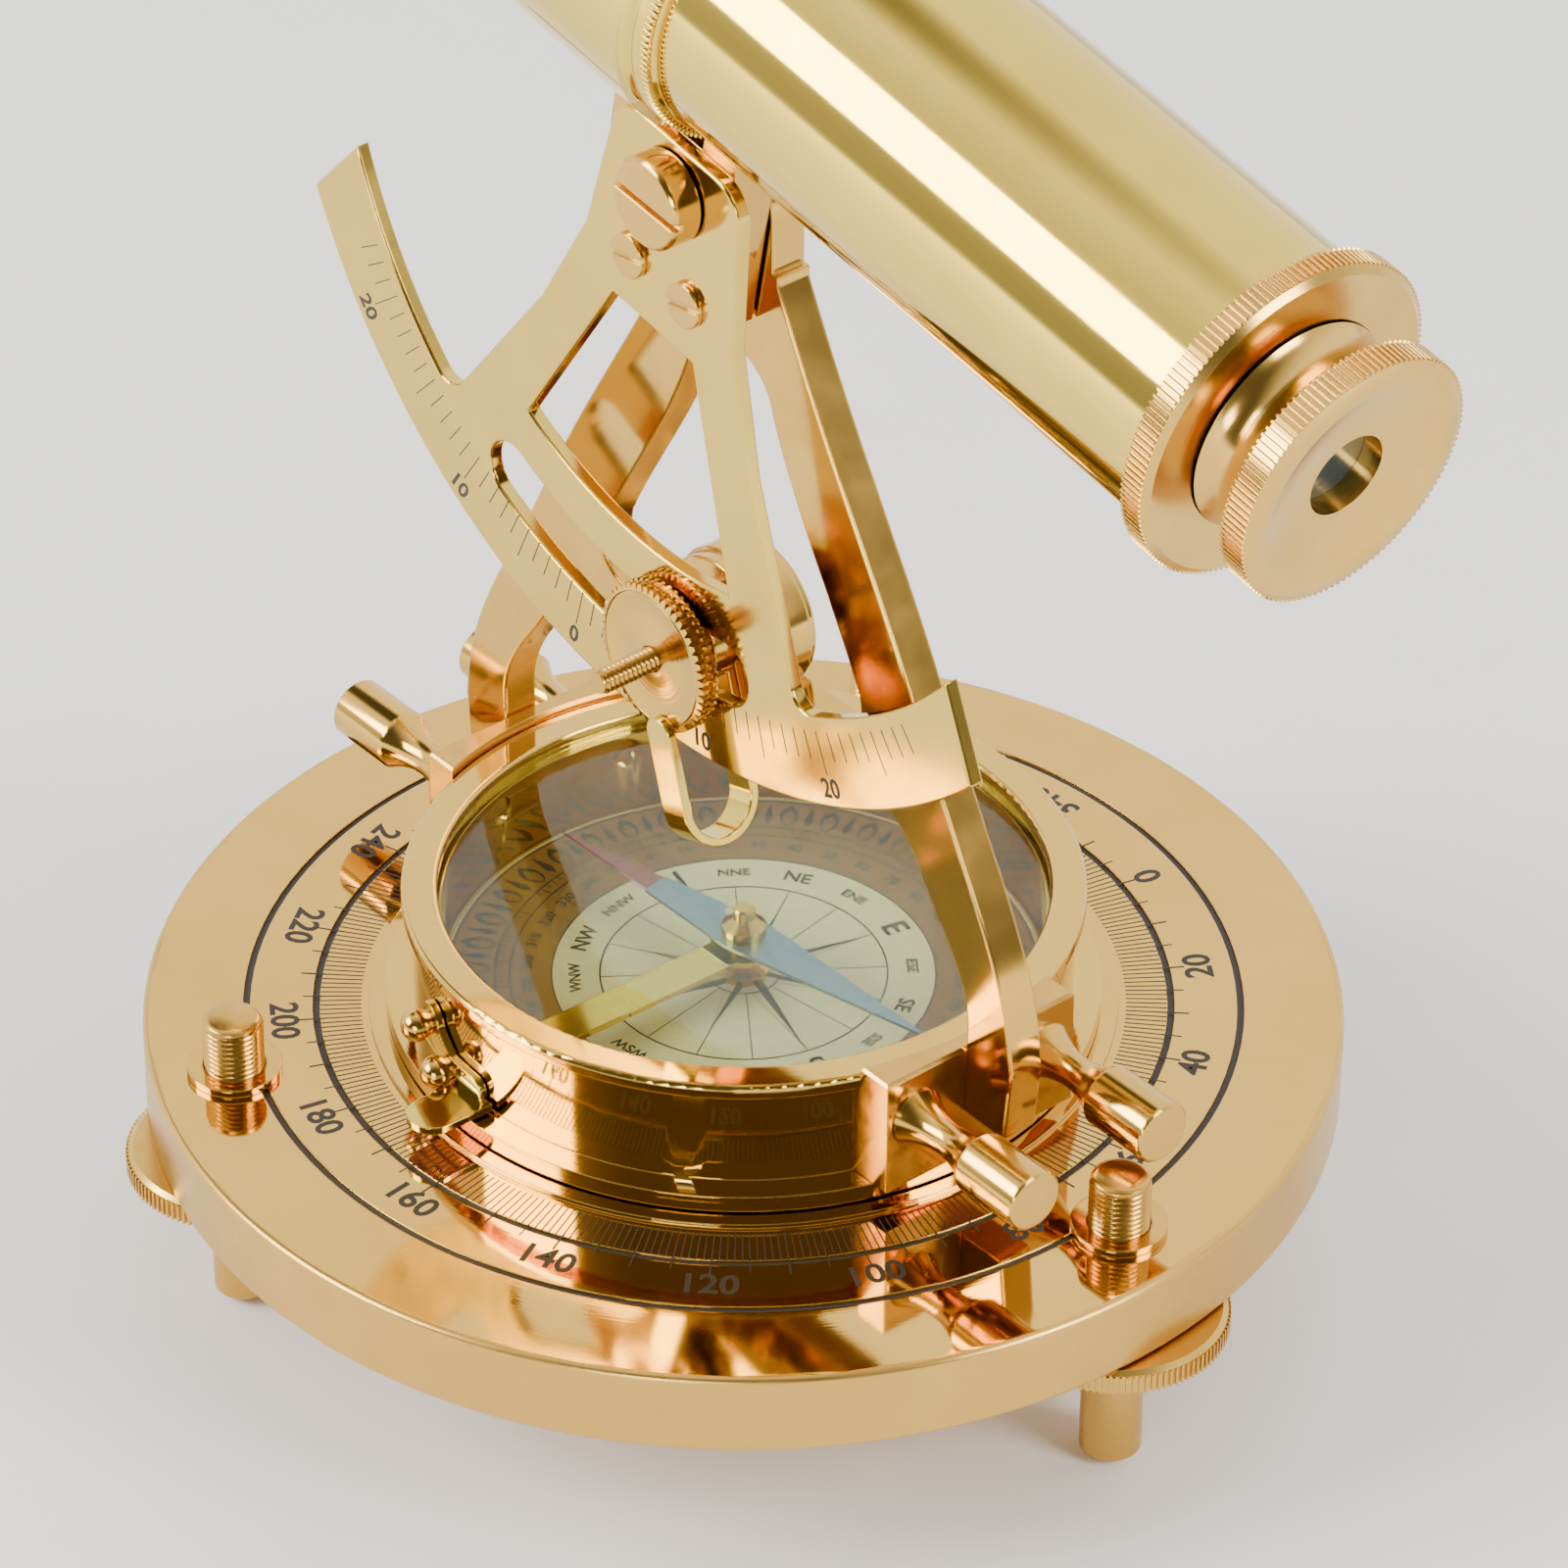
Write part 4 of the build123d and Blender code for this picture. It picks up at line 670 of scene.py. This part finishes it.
# The room is brightest behind the object, and has one dark patch high up.
BRIGHT_SIDE = Vector((-0.72, 0.6, 0.25)).normalized()
DARK_PATCH = Vector((-0.6, 0.06, 0.79)).normalized()


def place_camera():
    """The camera, on its bearing round the object and a little turned about its own axis."""
    back = Vector(
        (
            math.sin(VIEW_TURN) * math.cos(VIEW_RISE),
            -math.cos(VIEW_TURN) * math.cos(VIEW_RISE),
            math.sin(VIEW_RISE),
        )
    )
    level = Vector((math.cos(VIEW_TURN), math.sin(VIEW_TURN), 0))
    above = back.cross(level)
    right = level * math.cos(VIEW_ROLL) + above * math.sin(VIEW_ROLL)
    upward = above * math.cos(VIEW_ROLL) - level * math.sin(VIEW_ROLL)
    spot = back * VIEW_FAR - right * VIEW_SIDE - upward * VIEW_LIFT + Vector((0, 0, PLATE_TOP))
    lens = bpy.data.cameras.new("camera")
    lens.sensor_width = SENSOR
    lens.lens = SENSOR * FOCAL_IN_WIDTHS
    lens.clip_end = FAR_CLIP
    camera = bpy.data.objects.new("camera", lens)
    turn = Matrix((right, upward, back)).transposed().to_4x4()
    camera.matrix_world = Matrix.Translation(spot * MM) @ turn
    bpy.context.scene.collection.objects.link(camera)
    bpy.context.scene.camera = camera


def softbox(name, spot, size, power):
    """A white area light that faces the object, its place and size in metres and its power in watts."""
    light = bpy.data.lights.new(name, "AREA")
    light.shape = "RECTANGLE"
    light.size, light.size_y = size
    light.energy = power
    made = bpy.data.objects.new(name, light)
    made.location = Vector(spot)
    made.rotation_euler = (LIT_SPOT - Vector(spot)).to_track_quat("-Z", "Y").to_euler()
    bpy.context.scene.collection.objects.link(made)


def studio():
    """Pale floor and a white room, darker on the camera's side and in one patch high behind."""
    bpy.ops.mesh.primitive_plane_add(size=FLOOR_WIDE)
    floor = bpy.context.object
    floor.name = "floor"
    floor.data.materials.append(FLOOR)
    world = bpy.data.worlds.new("studio")
    bpy.context.scene.world = world
    world.use_nodes = True
    tree = world.node_tree
    tree.nodes.clear()
    facing = add(tree, "ShaderNodeTexCoord").outputs["Generated"]
    behind = add(
        tree, "ShaderNodeVectorMath", {0: facing, 1: BRIGHT_SIDE}, operation="DOT_PRODUCT"
    ).outputs["Value"]
    room = add(
        tree,
        "ShaderNodeMapRange",
        {"Value": behind, "From Min": -0.45, "From Max": 0.55, "To Min": 0.14, "To Max": 1.9},
        interpolation_type="SMOOTHSTEP",
    ).outputs[0]
    overhead = add(
        tree, "ShaderNodeVectorMath", {0: facing, 1: DARK_PATCH}, operation="DOT_PRODUCT"
    ).outputs["Value"]
    gap = add(
        tree,
        "ShaderNodeMapRange",
        {"Value": overhead, "From Min": 0.93, "From Max": 0.985, "To Min": 1.0, "To Max": 0.06},
        interpolation_type="SMOOTHSTEP",
    ).outputs[0]
    level = add(tree, "ShaderNodeMath", {0: room, 1: gap}, operation="MULTIPLY").outputs[0]
    sky = add(tree, "ShaderNodeBackground", {"Color": linear("#FFFDFA"), "Strength": level}).outputs[0]
    add(tree, "ShaderNodeOutputWorld", {"Surface": sky})
    softbox("key_left", (-0.9, -1.5, 1.1), (1.2, 0.9), 60)
    softbox("fill_right", (1.6, 0.5, 0.9), (0.7, 1.0), 34)
    softbox("front_low", (0.9, -1.3, 0.35), (0.5, 0.35), 8)


place_camera()
studio()

# ------------------------------------------------------------------ CAD solids with eased corners
# Triangles within this many degrees are one flat face, and large faces set the shading at this weight.
FLAT_WITHIN = 0.4
FACE_WEIGHT = 90


def eased(node_name, material, body, slot, width=0.0):
    """A copy of a CAD solid, its flat faces kept flat, and its corners rounded if a width is given."""
    piece = merged(node_name + "_eased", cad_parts[node_name])
    shell = bmesh.new()
    shell.from_mesh(piece.data)
    bmesh.ops.dissolve_limit(
        shell,
        angle_limit=math.radians(FLAT_WITHIN),
        verts=shell.verts,
        edges=shell.edges,
        delimit={"NORMAL"},
    )
    shell.to_mesh(piece.data)
    shell.free()
    soften(piece)
    if width:
        bevel = piece.modifiers.new("bevel", "BEVEL")
        bevel.width = width * MM
        bevel.segments = 2
        bevel.limit_method = "ANGLE"
        bevel.angle_limit = math.radians(CREASE)
        bevel.use_clamp_overlap = True
    even = piece.modifiers.new("even", "WEIGHTED_NORMAL")
    even.mode = "FACE_AREA"
    even.weight = FACE_WEIGHT
    even.keep_sharp = True
    graph = bpy.context.evaluated_depsgraph_get()
    mesh = bpy.data.meshes.new_from_object(piece.evaluated_get(graph))
    piece.modifiers.clear()
    piece.data = mesh
    return dress(piece, material, body, slot, node_name)


# The base plate's top is a mirror; its rim is satin, from this far inside the edge or below the top.
RIM_WIDE = 0.9
RIM_STEP = 2
plate = eased("base_plate", DECK_BRASS, "base", "brass")
plate.data.materials.append(RIM_BRASS)
for face in plate.data.polygons:
    reach = math.hypot(face.center.x, face.center.y) / MM
    if reach > PLATE_R - RIM_WIDE or face.center.z / MM < PLATE_TOP - RIM_STEP:
        face.material_index = 1

# ------------------------------------------------------------------ base plate's engraving
LEVEL_PLACE = plane_matrix((0, 0, PLATE_TOP), (1, 0, 0), UP)
# Bearing of the zero mark in degrees, and how far wax stands above the metal it is rubbed into.
ZERO_AT = 76.3
SCALE_LIFT = 0.03
TENS_LIFT = SCALE_LIFT * 1.2
DEGREES_R, FIVES_R, NUMBER_RING_R = 51.0, 54.6, 58.3
NUMBER_STEP, NUMBER_HIGH = 20, 3.6

# A line for each degree, more line past it at each fifth and tenth, and a number at each twentieth.
marks = [
    strokes("degrees", (5.2, 0.18, SCALE_LIFT), 360, DEGREES_R, ZERO_AT, -1, BLACK_WAX, LEVEL_PLACE),
    strokes("fives", (2.4, 0.18, SCALE_LIFT), 72, FIVES_R, ZERO_AT, -5, BLACK_WAX, LEVEL_PLACE),
    strokes("tens", (3.6, 0.22, TENS_LIFT), 36, FIVES_R, ZERO_AT, -10, BLACK_WAX, LEVEL_PLACE),
]
figures = [
    on_circle(str(value), NUMBER_HIGH, NUMBER_RING_R, ZERO_AT - value, TOP_INWARDS)
    for value in range(0, 360, NUMBER_STEP)
]
marks += lettering(figures, SCALE_LIFT, LEVEL_PLACE)
dress(joined("base_degree_scale", marks), BLACK_WAX, "base", "black")

# Wax left in the bottoms of the two turned grooves, a little clear of their floors and walls.
GROOVE_W, GROOVE_DEEP = 0.9, 0.4
WAX_CLEAR, WAX_LOW, WAX_HIGH = 0.02, 0.01, 0.16
for label, radius in (("outer", 62.9), ("inner", 54.1)):
    half = GROOVE_W / 2 - WAX_CLEAR
    low, high = PLATE_TOP - GROOVE_DEEP + WAX_LOW, PLATE_TOP - GROOVE_DEEP + WAX_HIGH
    fill = flat_ring("groove_wax_" + label, radius - half, radius + half, low, high, ORIGIN, 240)
    dress(fill, BLACK_WAX, "base", "black")

# ------------------------------------------------------------------ levelling screws
# A wheel's ribs: how many, half their width, how deep they start and end, and their gap to its faces.
WHEEL_RIBS, RIB_HALF, RIB_ROOT, RIB_TIP, RIB_GAP = 110, 0.16, 0.55, 0.02, 0.5
# The side of its core and the edges of its faces lie this far inside the ribs.
CORE_IN, FACE_IN = 0.35, 1.0
# A stud's thread, and the corners of its domed end: (below the top, inside the radius).
STUD_R, STUD_PITCH = 3.9, 0.75
STUD_GAP, STUD_DOME = 0.02, 0.4
DOME_CORNERS = ((0.42, 0.34), (0.25, 0.5), (0, 1.1))


def levelling_wheel(i):
    """Wheel i: a turned core with a knurl of straight ribs round it."""
    low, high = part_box("levelling_wheel_%d" % i)
    middle = (low + high) / (2 * MM)
    radius = (high.x - low.x) / (2 * MM)
    foot, top = low.z / MM, high.z / MM
    rib = block(
        (-RIB_ROOT, -RIB_HALF, foot - middle.z + RIB_GAP),
        (-RIB_TIP, RIB_HALF, top - middle.z - RIB_GAP),
    )
    place = Matrix.Translation(middle * MM) @ Matrix.Scale(MM, 4)
    ribs = set_round("ribs", rib, WHEEL_RIBS, radius, 0, 360 / WHEEL_RIBS, WHEEL_BRASS, place)
    core = turned(
        "levelling_wheel_%d_turned" % i,
        [
            (foot, 0),
            (foot, radius - FACE_IN),
            (foot + RIB_GAP, radius - CORE_IN),
            (top - RIB_GAP, radius - CORE_IN),
            (top, radius - FACE_IN),
            (top, 0),
        ],
        (middle.x, middle.y, 0),
        UP,
        WHEEL_RIBS,
    )
    whole = joined("levelling_wheel_%d_knurled" % i, [core.data, ribs])
    bpy.data.objects.remove(core)
    soften(whole)
    dress(whole, WHEEL_BRASS, "screw_%d" % i, "brass", "levelling_wheel_%d" % i)


def levelling_stud(i):
    """Stud i: a screw thread up to a domed end."""
    low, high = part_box("levelling_screw_%d" % i)
    foot, top = low.z / MM, high.z / MM
    centre = Vector(((low.x + high.x) / (2 * MM), (low.y + high.y) / (2 * MM), 0))
    stud = threaded(
        "levelling_screw_%d_thread" % i,
        centre,
        UP,
        STUD_R - STUD_GAP,
        foot + STUD_GAP,
        top - STUD_DOME,
        STUD_PITCH,
    )
    corners = [(top - drop, STUD_R - inside) for drop, inside in DOME_CORNERS]
    dome = turned("dome", [(corners[0][0], 0)] + corners + [(top, 0)], centre, UP, 96)
    whole = joined("levelling_screw_%d_cut" % i, [stud.data, dome.data])
    bpy.data.objects.remove(stud)
    bpy.data.objects.remove(dome)
    soften(whole, THREAD_CREASE)
    dress(whole, THREAD_BRASS, "screw_%d" % i, "brass", "levelling_screw_%d" % i)


for i in (1, 2, 3):
    levelling_wheel(i)
    levelling_stud(i)

# ------------------------------------------------------------------ solids in their own metals
# CAD nodes shown as they are, each with its finish.
FINISHES = {
    "levelling_bushes": CAST_BRASS,
    "levelling_foot_1": RIM_BRASS,
    "levelling_foot_2": RIM_BRASS,
    "levelling_foot_3": RIM_BRASS,
    "centre_washer": CAST_BRASS,
    "centre_screw": CAST_BRASS,
    "needle_pivot": TURNED_BRASS,
    "needle_cap": TURNED_BRASS,
    "needle_lifter": TUBE_BRASS,
    "arrest_pivot_screw": CAST_BRASS,
    "arrest_pin": CAST_BRASS,
    "clamp_spacer": CAST_BRASS,
    "pivot_nut": CAST_BRASS,
    "objective_cell": BLACK_PAINT,
    "objective_lens": FRONT_GLASS,
    "objective_retainer": TURNED_BRASS,
    "reticle_ring": BLACK_PAINT,
    # The lenses are near black: painted shade for the dark inside of the eyepiece.
    "eye_lens": LENS_PAINTED_DARK,
    "field_lens": LENS_PAINTED_DARK,
    "compass_glass": GLASS,
    "compass_dial": ENAMEL,
}
for name, finish in FINISHES.items():
    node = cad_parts[name]
    node.data.materials.clear()
    node.data.materials.append(finish)

# CAD solids shown with eased corners: node, finish, body, finish slot and the corners' width.
EASED = (
    ("a_frame", CAST_BRASS, "head", "frame_brass", 0.3),
    ("arc_plate", PLATE_BRASS, "telescope", "brass", 0.15),
    ("foot_block_right", SAWN_BRASS, "head", "brass", 0.3),
    ("foot_block_left", SAWN_BRASS, "head", "brass", 0.3),
    ("index_strip", TUBE_BRASS, "head", "brass", 0.15),
    ("arrest_lever", TUBE_BRASS, "arrest", "brass", 0),
    ("telescope_lug", CAST_BRASS, "telescope", "brass", 0.3),
    ("pivot_bolt", CAST_BRASS, "telescope", "brass", 0.12),
    ("lug_screws", CAST_BRASS, "telescope", "brass", 0.1),
    ("compass_box", BOX_BRASS, "head", "brass", 0),
    ("compass_bezel", BOX_BRASS, "head", "brass", 0),
    ("thumb_screw_1", CAST_BRASS, "thumb_1", "brass", 0),
    ("thumb_screw_2", CAST_BRASS, "thumb_2", "brass", 0),
    ("thumb_screw_3", CAST_BRASS, "thumb_3", "brass", 0),
    ("thumb_screw_4", CAST_BRASS, "thumb_4", "brass", 0),
    ("main_tube", TUBE_BRASS, "telescope", "brass", 0),
    ("front_tube", TUBE_BRASS, "telescope", "brass", 0),
    ("draw_tube", EYE_BRASS, "eyepiece", "brass", 0),
)
for name, finish, body, slot, width in EASED:
    eased(name, finish, body, slot, width)

# ------------------------------------------------------------------ clamp: threaded rod and beaded nut
ROD_R, ROD_PITCH, ROD_GAP = 1.68, 0.7, 0.02
rod_low, rod_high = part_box("clamp_rod")
rod_mid = (rod_low + rod_high) / (2 * MM)
rod_mid.y = 0
rod_back, rod_tip = -rod_high.y / MM + ROD_GAP, -rod_low.y / MM - ROD_GAP
rod = threaded("clamp_rod_threaded", rod_mid, TO_FRONT, ROD_R, rod_back, rod_tip, ROD_PITCH)
dress(rod, THREAD_BRASS, "head", "brass", "clamp_rod")

nut_low, nut_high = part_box("clamp_nut")
nut_mid = (nut_low + nut_high) / (2 * MM)
NUT_R = (nut_high.x - nut_low.x) / (2 * MM)
NUT_HALF = (nut_high.y - nut_low.y) / (2 * MM)
NUT_PLACE = plane_matrix(nut_mid, (1, 0, 0), TO_FRONT)
NUT_BORE_R = 1.75
# Two rows of beads, half a bead apart: how many in a row, their length, how much of the row they
# fill, and how far each row is from the nut's middle.
BEADS, BEAD_LONG, BEAD_SHARE, ROW_AT = 52, 1.4, 0.92, 0.78
BEAD_ROOT, BEAD_TIP = 0.9, 0.02
# How far inside the beads' crests its side, the neck between the rows, its faces and its dish lie.
BARREL_IN, NECK_IN, CHAMFER_IN, DISH_IN = 0.7, 1.0, 1.2, 3.2


# Corners of a pattern piece this close to its crest, in millimetres, belong to its outer face.
OUTER_FACE = 0.1


def narrowed(pattern, across, along):
    """A pattern piece whose outer face is drawn in to these parts of its width and length."""
    for v in pattern.data.vertices:
        if v.co.x > -OUTER_FACE:
            v.co.y *= across
            v.co.z *= along
    return pattern


bead_wide = 2 * math.pi * NUT_R / BEADS * BEAD_SHARE
rows = []
for height, turn in ((ROW_AT, 0), (-ROW_AT, 180 / BEADS)):
    bead = block(
        (-BEAD_ROOT, -bead_wide / 2, -BEAD_LONG / 2), (-BEAD_TIP, bead_wide / 2, BEAD_LONG / 2)
    )
    place = NUT_PLACE @ Matrix.Translation((0, 0, height))
    bead = narrowed(bead, 0.45, 0.6)
    rows.append(set_round("beads", bead, BEADS, NUT_R, turn, 360 / BEADS, NUT_BRASS, place))
core = turned(
    "nut_core",
    [
        (-NUT_HALF, NUT_BORE_R),
        (-NUT_HALF, NUT_R - CHAMFER_IN),
        (-NUT_HALF + 0.3, NUT_R - BARREL_IN),
        (-0.15, NUT_R - BARREL_IN),
        (0, NUT_R - NECK_IN),
        (0.15, NUT_R - BARREL_IN),
        (NUT_HALF - 0.3, NUT_R - BARREL_IN),
        (NUT_HALF, NUT_R - CHAMFER_IN),
        (NUT_HALF - 0.25, NUT_R - DISH_IN),
        (NUT_HALF - 0.3, 3.0),
        (NUT_HALF, 2.4),
        (NUT_HALF, NUT_BORE_R),
    ],
    nut_mid,
    TO_FRONT,
    128,
)
whole = joined("clamp_nut_beaded", [core.data] + rows)
bpy.data.objects.remove(core)
soften(whole)
dress(whole, NUT_BRASS, "nut", "brass", "clamp_nut")

# ------------------------------------------------------------------ telescope: collar, cap and bead ring
OPTIC_PLACE = plane_matrix(AXIS_AT, UPRIGHT, ALONG)
# A rib fills this part of its share of the circle, is half as wide at its crest, and has a root this
# much deeper than the metal beside it.
RIB_FILL, RIB_CREST, RIB_SINK = 0.66, 0.5, 0.25


def knurl_band(name, radius, start, end, count, depth, material):
    """Fine straight ribs round the optical axis between two stations, as a mesh."""
    width = 2 * math.pi * radius / count * RIB_FILL
    rib = block((-depth - RIB_SINK, -width / 2, start), (-RIB_TIP, width / 2, end))
    rib = narrowed(rib, RIB_CREST, 1)
    return set_round(name, rib, count, radius, 0, 360 / count, material, OPTIC_PLACE)


def knurled(name, outline, ribs, body, node):
    """A piece of the eyepiece's brass, turned about the optical axis and with ribs round it."""
    core = turned(name + "_core", outline, AXIS_AT, ALONG)
    whole = joined(name, [core.data, ribs])
    bpy.data.objects.remove(core)
    soften(whole)
    dress(whole, EYE_BRASS, body, "brass", node)


COLLAR_START, COLLAR_END, COLLAR_R, COLLAR_BORE_R = 84.5, 88.5, 20.5, 13.45
knurled(
    "tube_collar_knurled",
    [
        (COLLAR_START, COLLAR_BORE_R),
        (COLLAR_START, COLLAR_R - 1.0),
        (COLLAR_START + 0.5, COLLAR_R - CORE_IN),
        (COLLAR_END - 0.7, COLLAR_R - CORE_IN),
        (COLLAR_END, COLLAR_R - 1.2),
        (COLLAR_END, COLLAR_BORE_R),
    ],
    knurl_band("collar_ribs", COLLAR_R, COLLAR_START + 0.35, COLLAR_END - 0.75, 150, 0.45, EYE_BRASS),
    "telescope",
    "tube_collar",
)

# The eye cap is dished from its rim down to the hole that the eye looks through.
CAP_START, CAP_END, CAP_R, CAP_RIM = 95.5, 100.0, 16.0, 3.0
EYE_HOLE_R = 5.2
DISH, DISH_STEPS, DISH_POWER = 1.6, 14, 1.6
dish_curve = []
for step in range(DISH_STEPS + 1):
    share = 1 - step / DISH_STEPS
    sunk = DISH * (1 - share**DISH_POWER)
    dish_curve.append((CAP_END - sunk, EYE_HOLE_R + (CAP_R - CAP_RIM - EYE_HOLE_R) * share))
knurled(
    "eye_cap_knurled",
    [
        (CAP_START, EYE_HOLE_R),
        (CAP_START, CAP_R - 1.2),
        (CAP_START + 0.6, CAP_R - CORE_IN),
        (CAP_END - 0.6, CAP_R - CORE_IN),
        (CAP_END, CAP_R - 1.4),
    ]
    + dish_curve,
    knurl_band("cap_ribs", CAP_R, CAP_START + 0.5, CAP_END - 0.55, 118, 0.45, EYE_BRASS),
    "eyepiece",
    "eye_cap",
)

# Ribs on the bead that stiffens the end of the front tube.
BEAD_R, BEAD_START, BEAD_END = 19.75, -1.2, 1.7
ribs = knurl_band("bead_ribs", BEAD_R, BEAD_START, BEAD_END, 140, 0.3, TUBE_BRASS)
dress(show("bead_ring_ribs", ribs), TUBE_BRASS, "telescope", "brass")

# ------------------------------------------------------------------ arc plate: engraved degrees
ARC_PLACE = plane_matrix((PIVOT.x, ARC_FRONT, PIVOT.z), (1, 0, 0), TO_FRONT)
# Bearing of the zero mark below the pivot, and the turn from one mark to the next, in degrees.
ARC_ZERO = -105.2
ARC_STEP = 1.93
ARC_ONES_R, ARC_FIVES_R, ARC_NUMBERS_R = 69.2, 72.0, 74.8
ARC_FIRST = ARC_ZERO - 23 * ARC_STEP
ARC_FIRST_FIVE = ARC_ZERO - 20 * ARC_STEP
ONES, FIVES = (3.8, 0.14, SCALE_LIFT), (1.8, 0.14, SCALE_LIFT)
lines = [
    strokes("arc_degrees", ONES, 52, ARC_ONES_R, ARC_FIRST, ARC_STEP, BLACK_WAX, ARC_PLACE),
    strokes("arc_fives", FIVES, 10, ARC_FIVES_R, ARC_FIRST_FIVE, 5 * ARC_STEP, BLACK_WAX, ARC_PLACE),
]
numbers = [
    on_circle(str(abs(count)), 2.5, ARC_NUMBERS_R, ARC_ZERO + count * ARC_STEP, TOP_INWARDS)
    for count in (-20, -10, 0, 10, 20)
]
lines += lettering(numbers, SCALE_LIFT, ARC_PLACE)
dress(joined("arc_scale", lines), BLACK_WAX, "telescope", "black")

# ------------------------------------------------------------------ dial: printed rose and rings
DIAL_AT = Vector((0, 0, DIAL_TOP))
DIAL_PLACE = plane_matrix(DIAL_AT, (1, 0, 0), UP)
NORTH_AT = 166.5
ROSE_R, LETTER_R, TICK_R = 18.2, 24.3, 31.5
# Radii of the printed circles, and of the middles of the wind names, the numbers and the rays.
CIRCLES = (ROSE_R, LETTER_R, 29.6, TICK_R, 37.3, 4.6)
WINDS_R, NUMBERS_R, RAYS_R = 21.3, 27.4, 11.4
# Radii of the middles of the degree lines and of the lines for each tenth.
ONES_R, TENS_R = 31.0, 30.6
# Layers of ink, each a little higher than the one it is printed over, so that none flickers.
BAND_LIFT, RAY_LIFT, LINE_LIFT, PRINT_LIFT, BORDER_LIFT = 0.015, 0.03, 0.035, 0.04, 0.045
LINE_HALF = 0.11
RING_SIDES = 144

# The gold band's flat brown is a painted dark reflection in place of its shine.
band = flat_ring("dial_gold_band", LETTER_R, DIAL_R - 0.2, 0.0, BAND_LIFT, DIAL_AT, RING_SIDES)
dress(band, GOLD_INK_PAINTED_DARK, "head", "dial")

ink = []
for radius in CIRCLES:
    low, high = radius - LINE_HALF, radius + LINE_HALF
    circle = flat_ring("line", low, high, 0.0, LINE_LIFT, DIAL_AT, RING_SIDES)
    ink.append(circle.data)
    bpy.data.objects.remove(circle)


def print_round(name, pattern, count, radius, first):
    """Copies of a pattern printed at even steps round the dial, the first one turned from north."""
    start, step = NORTH_AT + first, 360 / count
    ink.append(set_round(name, pattern, count, radius, start, step, BLACK_INK, DIAL_PLACE))


RAY, TICK, TEN = (13.6, 0.14, RAY_LIFT), (1.0, 0.1, PRINT_LIFT), (1.7, 0.16, BORDER_LIFT)
ink.append(strokes("rays", RAY, 16, RAYS_R, NORTH_AT, 22.5, BLACK_INK, DIAL_PLACE))
ink.append(strokes("dial_degrees", TICK, 180, ONES_R, NORTH_AT, 2, BLACK_INK, DIAL_PLACE))
ink.append(strokes("dial_tens", TEN, 36, TENS_R, NORTH_AT, 10, BLACK_INK, DIAL_PLACE))

# Half of each star point is filled and the other half has only its outline: long points first.
HALF_WIND = math.radians(22.5)
EDGE_WIDE, EDGE_TIP, STAR_START, STAR_R = 0.16, 0.1, 0.2, 0.01
for reach, waist, turn in ((16.6, 3.3, 0), (12.4, 2.7, 45)):
    x, y = waist * math.cos(HALF_WIND), waist * math.sin(HALF_WIND)
    half = flat_shape([(STAR_START, 0), (reach, 0), (x, y)], PRINT_LIFT)
    print_round("star", half, 4, STAR_R, turn)
    edge = flat_shape([(reach, 0), (x, -y), (x + EDGE_WIDE, -y), (reach, -EDGE_TIP)], PRINT_LIFT)
    print_round("star_edge", edge, 4, STAR_R, turn)

# Scroll border: pairs of curls with a dot in them, and leaves between.
BORDER_COUNT = 40
CURL_POINTS, CURL_TURN, CURL_WIDE = 15, 0.42, 0.5
curl = []
for step in range(CURL_POINTS):
    turn = step * CURL_TURN
    curl.append(
        (3.0 - 2.4 * math.cos(turn) * (1 - step / 16), 1.25 * math.sin(turn) * (1 - step / 18))
    )
for side in (1, -1):
    pattern = ribbon([(x, y * side) for x, y in curl], CURL_WIDE, BORDER_LIFT)
    print_round("scroll", pattern, BORDER_COUNT, TICK_R, 0)
leaf = [(0.7, 0), (2.0, 0.62), (4.6, 0.14), (5.2, 0), (4.6, -0.14), (2.0, -0.62)]
print_round("leaf", flat_shape(leaf, BORDER_LIFT), BORDER_COUNT, TICK_R, 180 / BORDER_COUNT)
DOT_R, DOT_AT, DOT_SIDES = 0.42, 4.6, 8
dot = []
for step in range(DOT_SIDES):
    turn = 2 * math.pi * step / DOT_SIDES
    dot.append((DOT_AT + DOT_R * math.cos(turn), DOT_R * math.sin(turn)))
print_round("dot", flat_shape(dot, BORDER_LIFT), BORDER_COUNT, TICK_R, 0)

# Names of the winds, smaller the longer they are, and a number for each tenth degree.
WINDS = "N NNE NE ENE E ESE SE SSE S SSW SW WSW W WNW NW NNW".split()
WIND_HIGH = {1: 3.4, 2: 2.1, 3: 1.5}
words = []
for i, wind in enumerate(WINDS):
    bearing = NORTH_AT - i * 360 / len(WINDS)
    words.append(on_circle(wind, WIND_HIGH[len(wind)], WINDS_R, bearing, TOP_OUTWARDS))
for value in range(0, 360, 10):
    words.append(on_circle(str(value), 1.45, NUMBERS_R, NORTH_AT - value, TOP_OUTWARDS))
ink += lettering(words, PRINT_LIFT, DIAL_PLACE)
dress(joined("dial_print", ink), BLACK_INK, "head", "black")

# ------------------------------------------------------------------ needle: two colours
# The needle's bearing at rest, in degrees, and where its red point starts, in millimetres.
NEEDLE_AT = 187.2
POINT_FROM = 15.5
blade = merged("needle_blade_painted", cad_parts["needle_blade"])
soften(blade)
dress(blade, BLUED_STEEL, "needle", "needle_steel", "needle_blade")
blade.data.materials.append(RED_PAINT)
shell = bmesh.new()
shell.from_mesh(blade.data)
north = Vector((math.cos(math.radians(NEEDLE_AT)), math.sin(math.radians(NEEDLE_AT)), 0))
geometry = shell.verts[:] + shell.edges[:] + shell.faces[:]
bmesh.ops.bisect_plane(shell, geom=geometry, plane_co=north * POINT_FROM * MM, plane_no=north)
for face in shell.faces:
    face.material_index = 1 if face.calc_center_median().dot(north) > POINT_FROM * MM else 0
shell.to_mesh(blade.data)
shell.free()
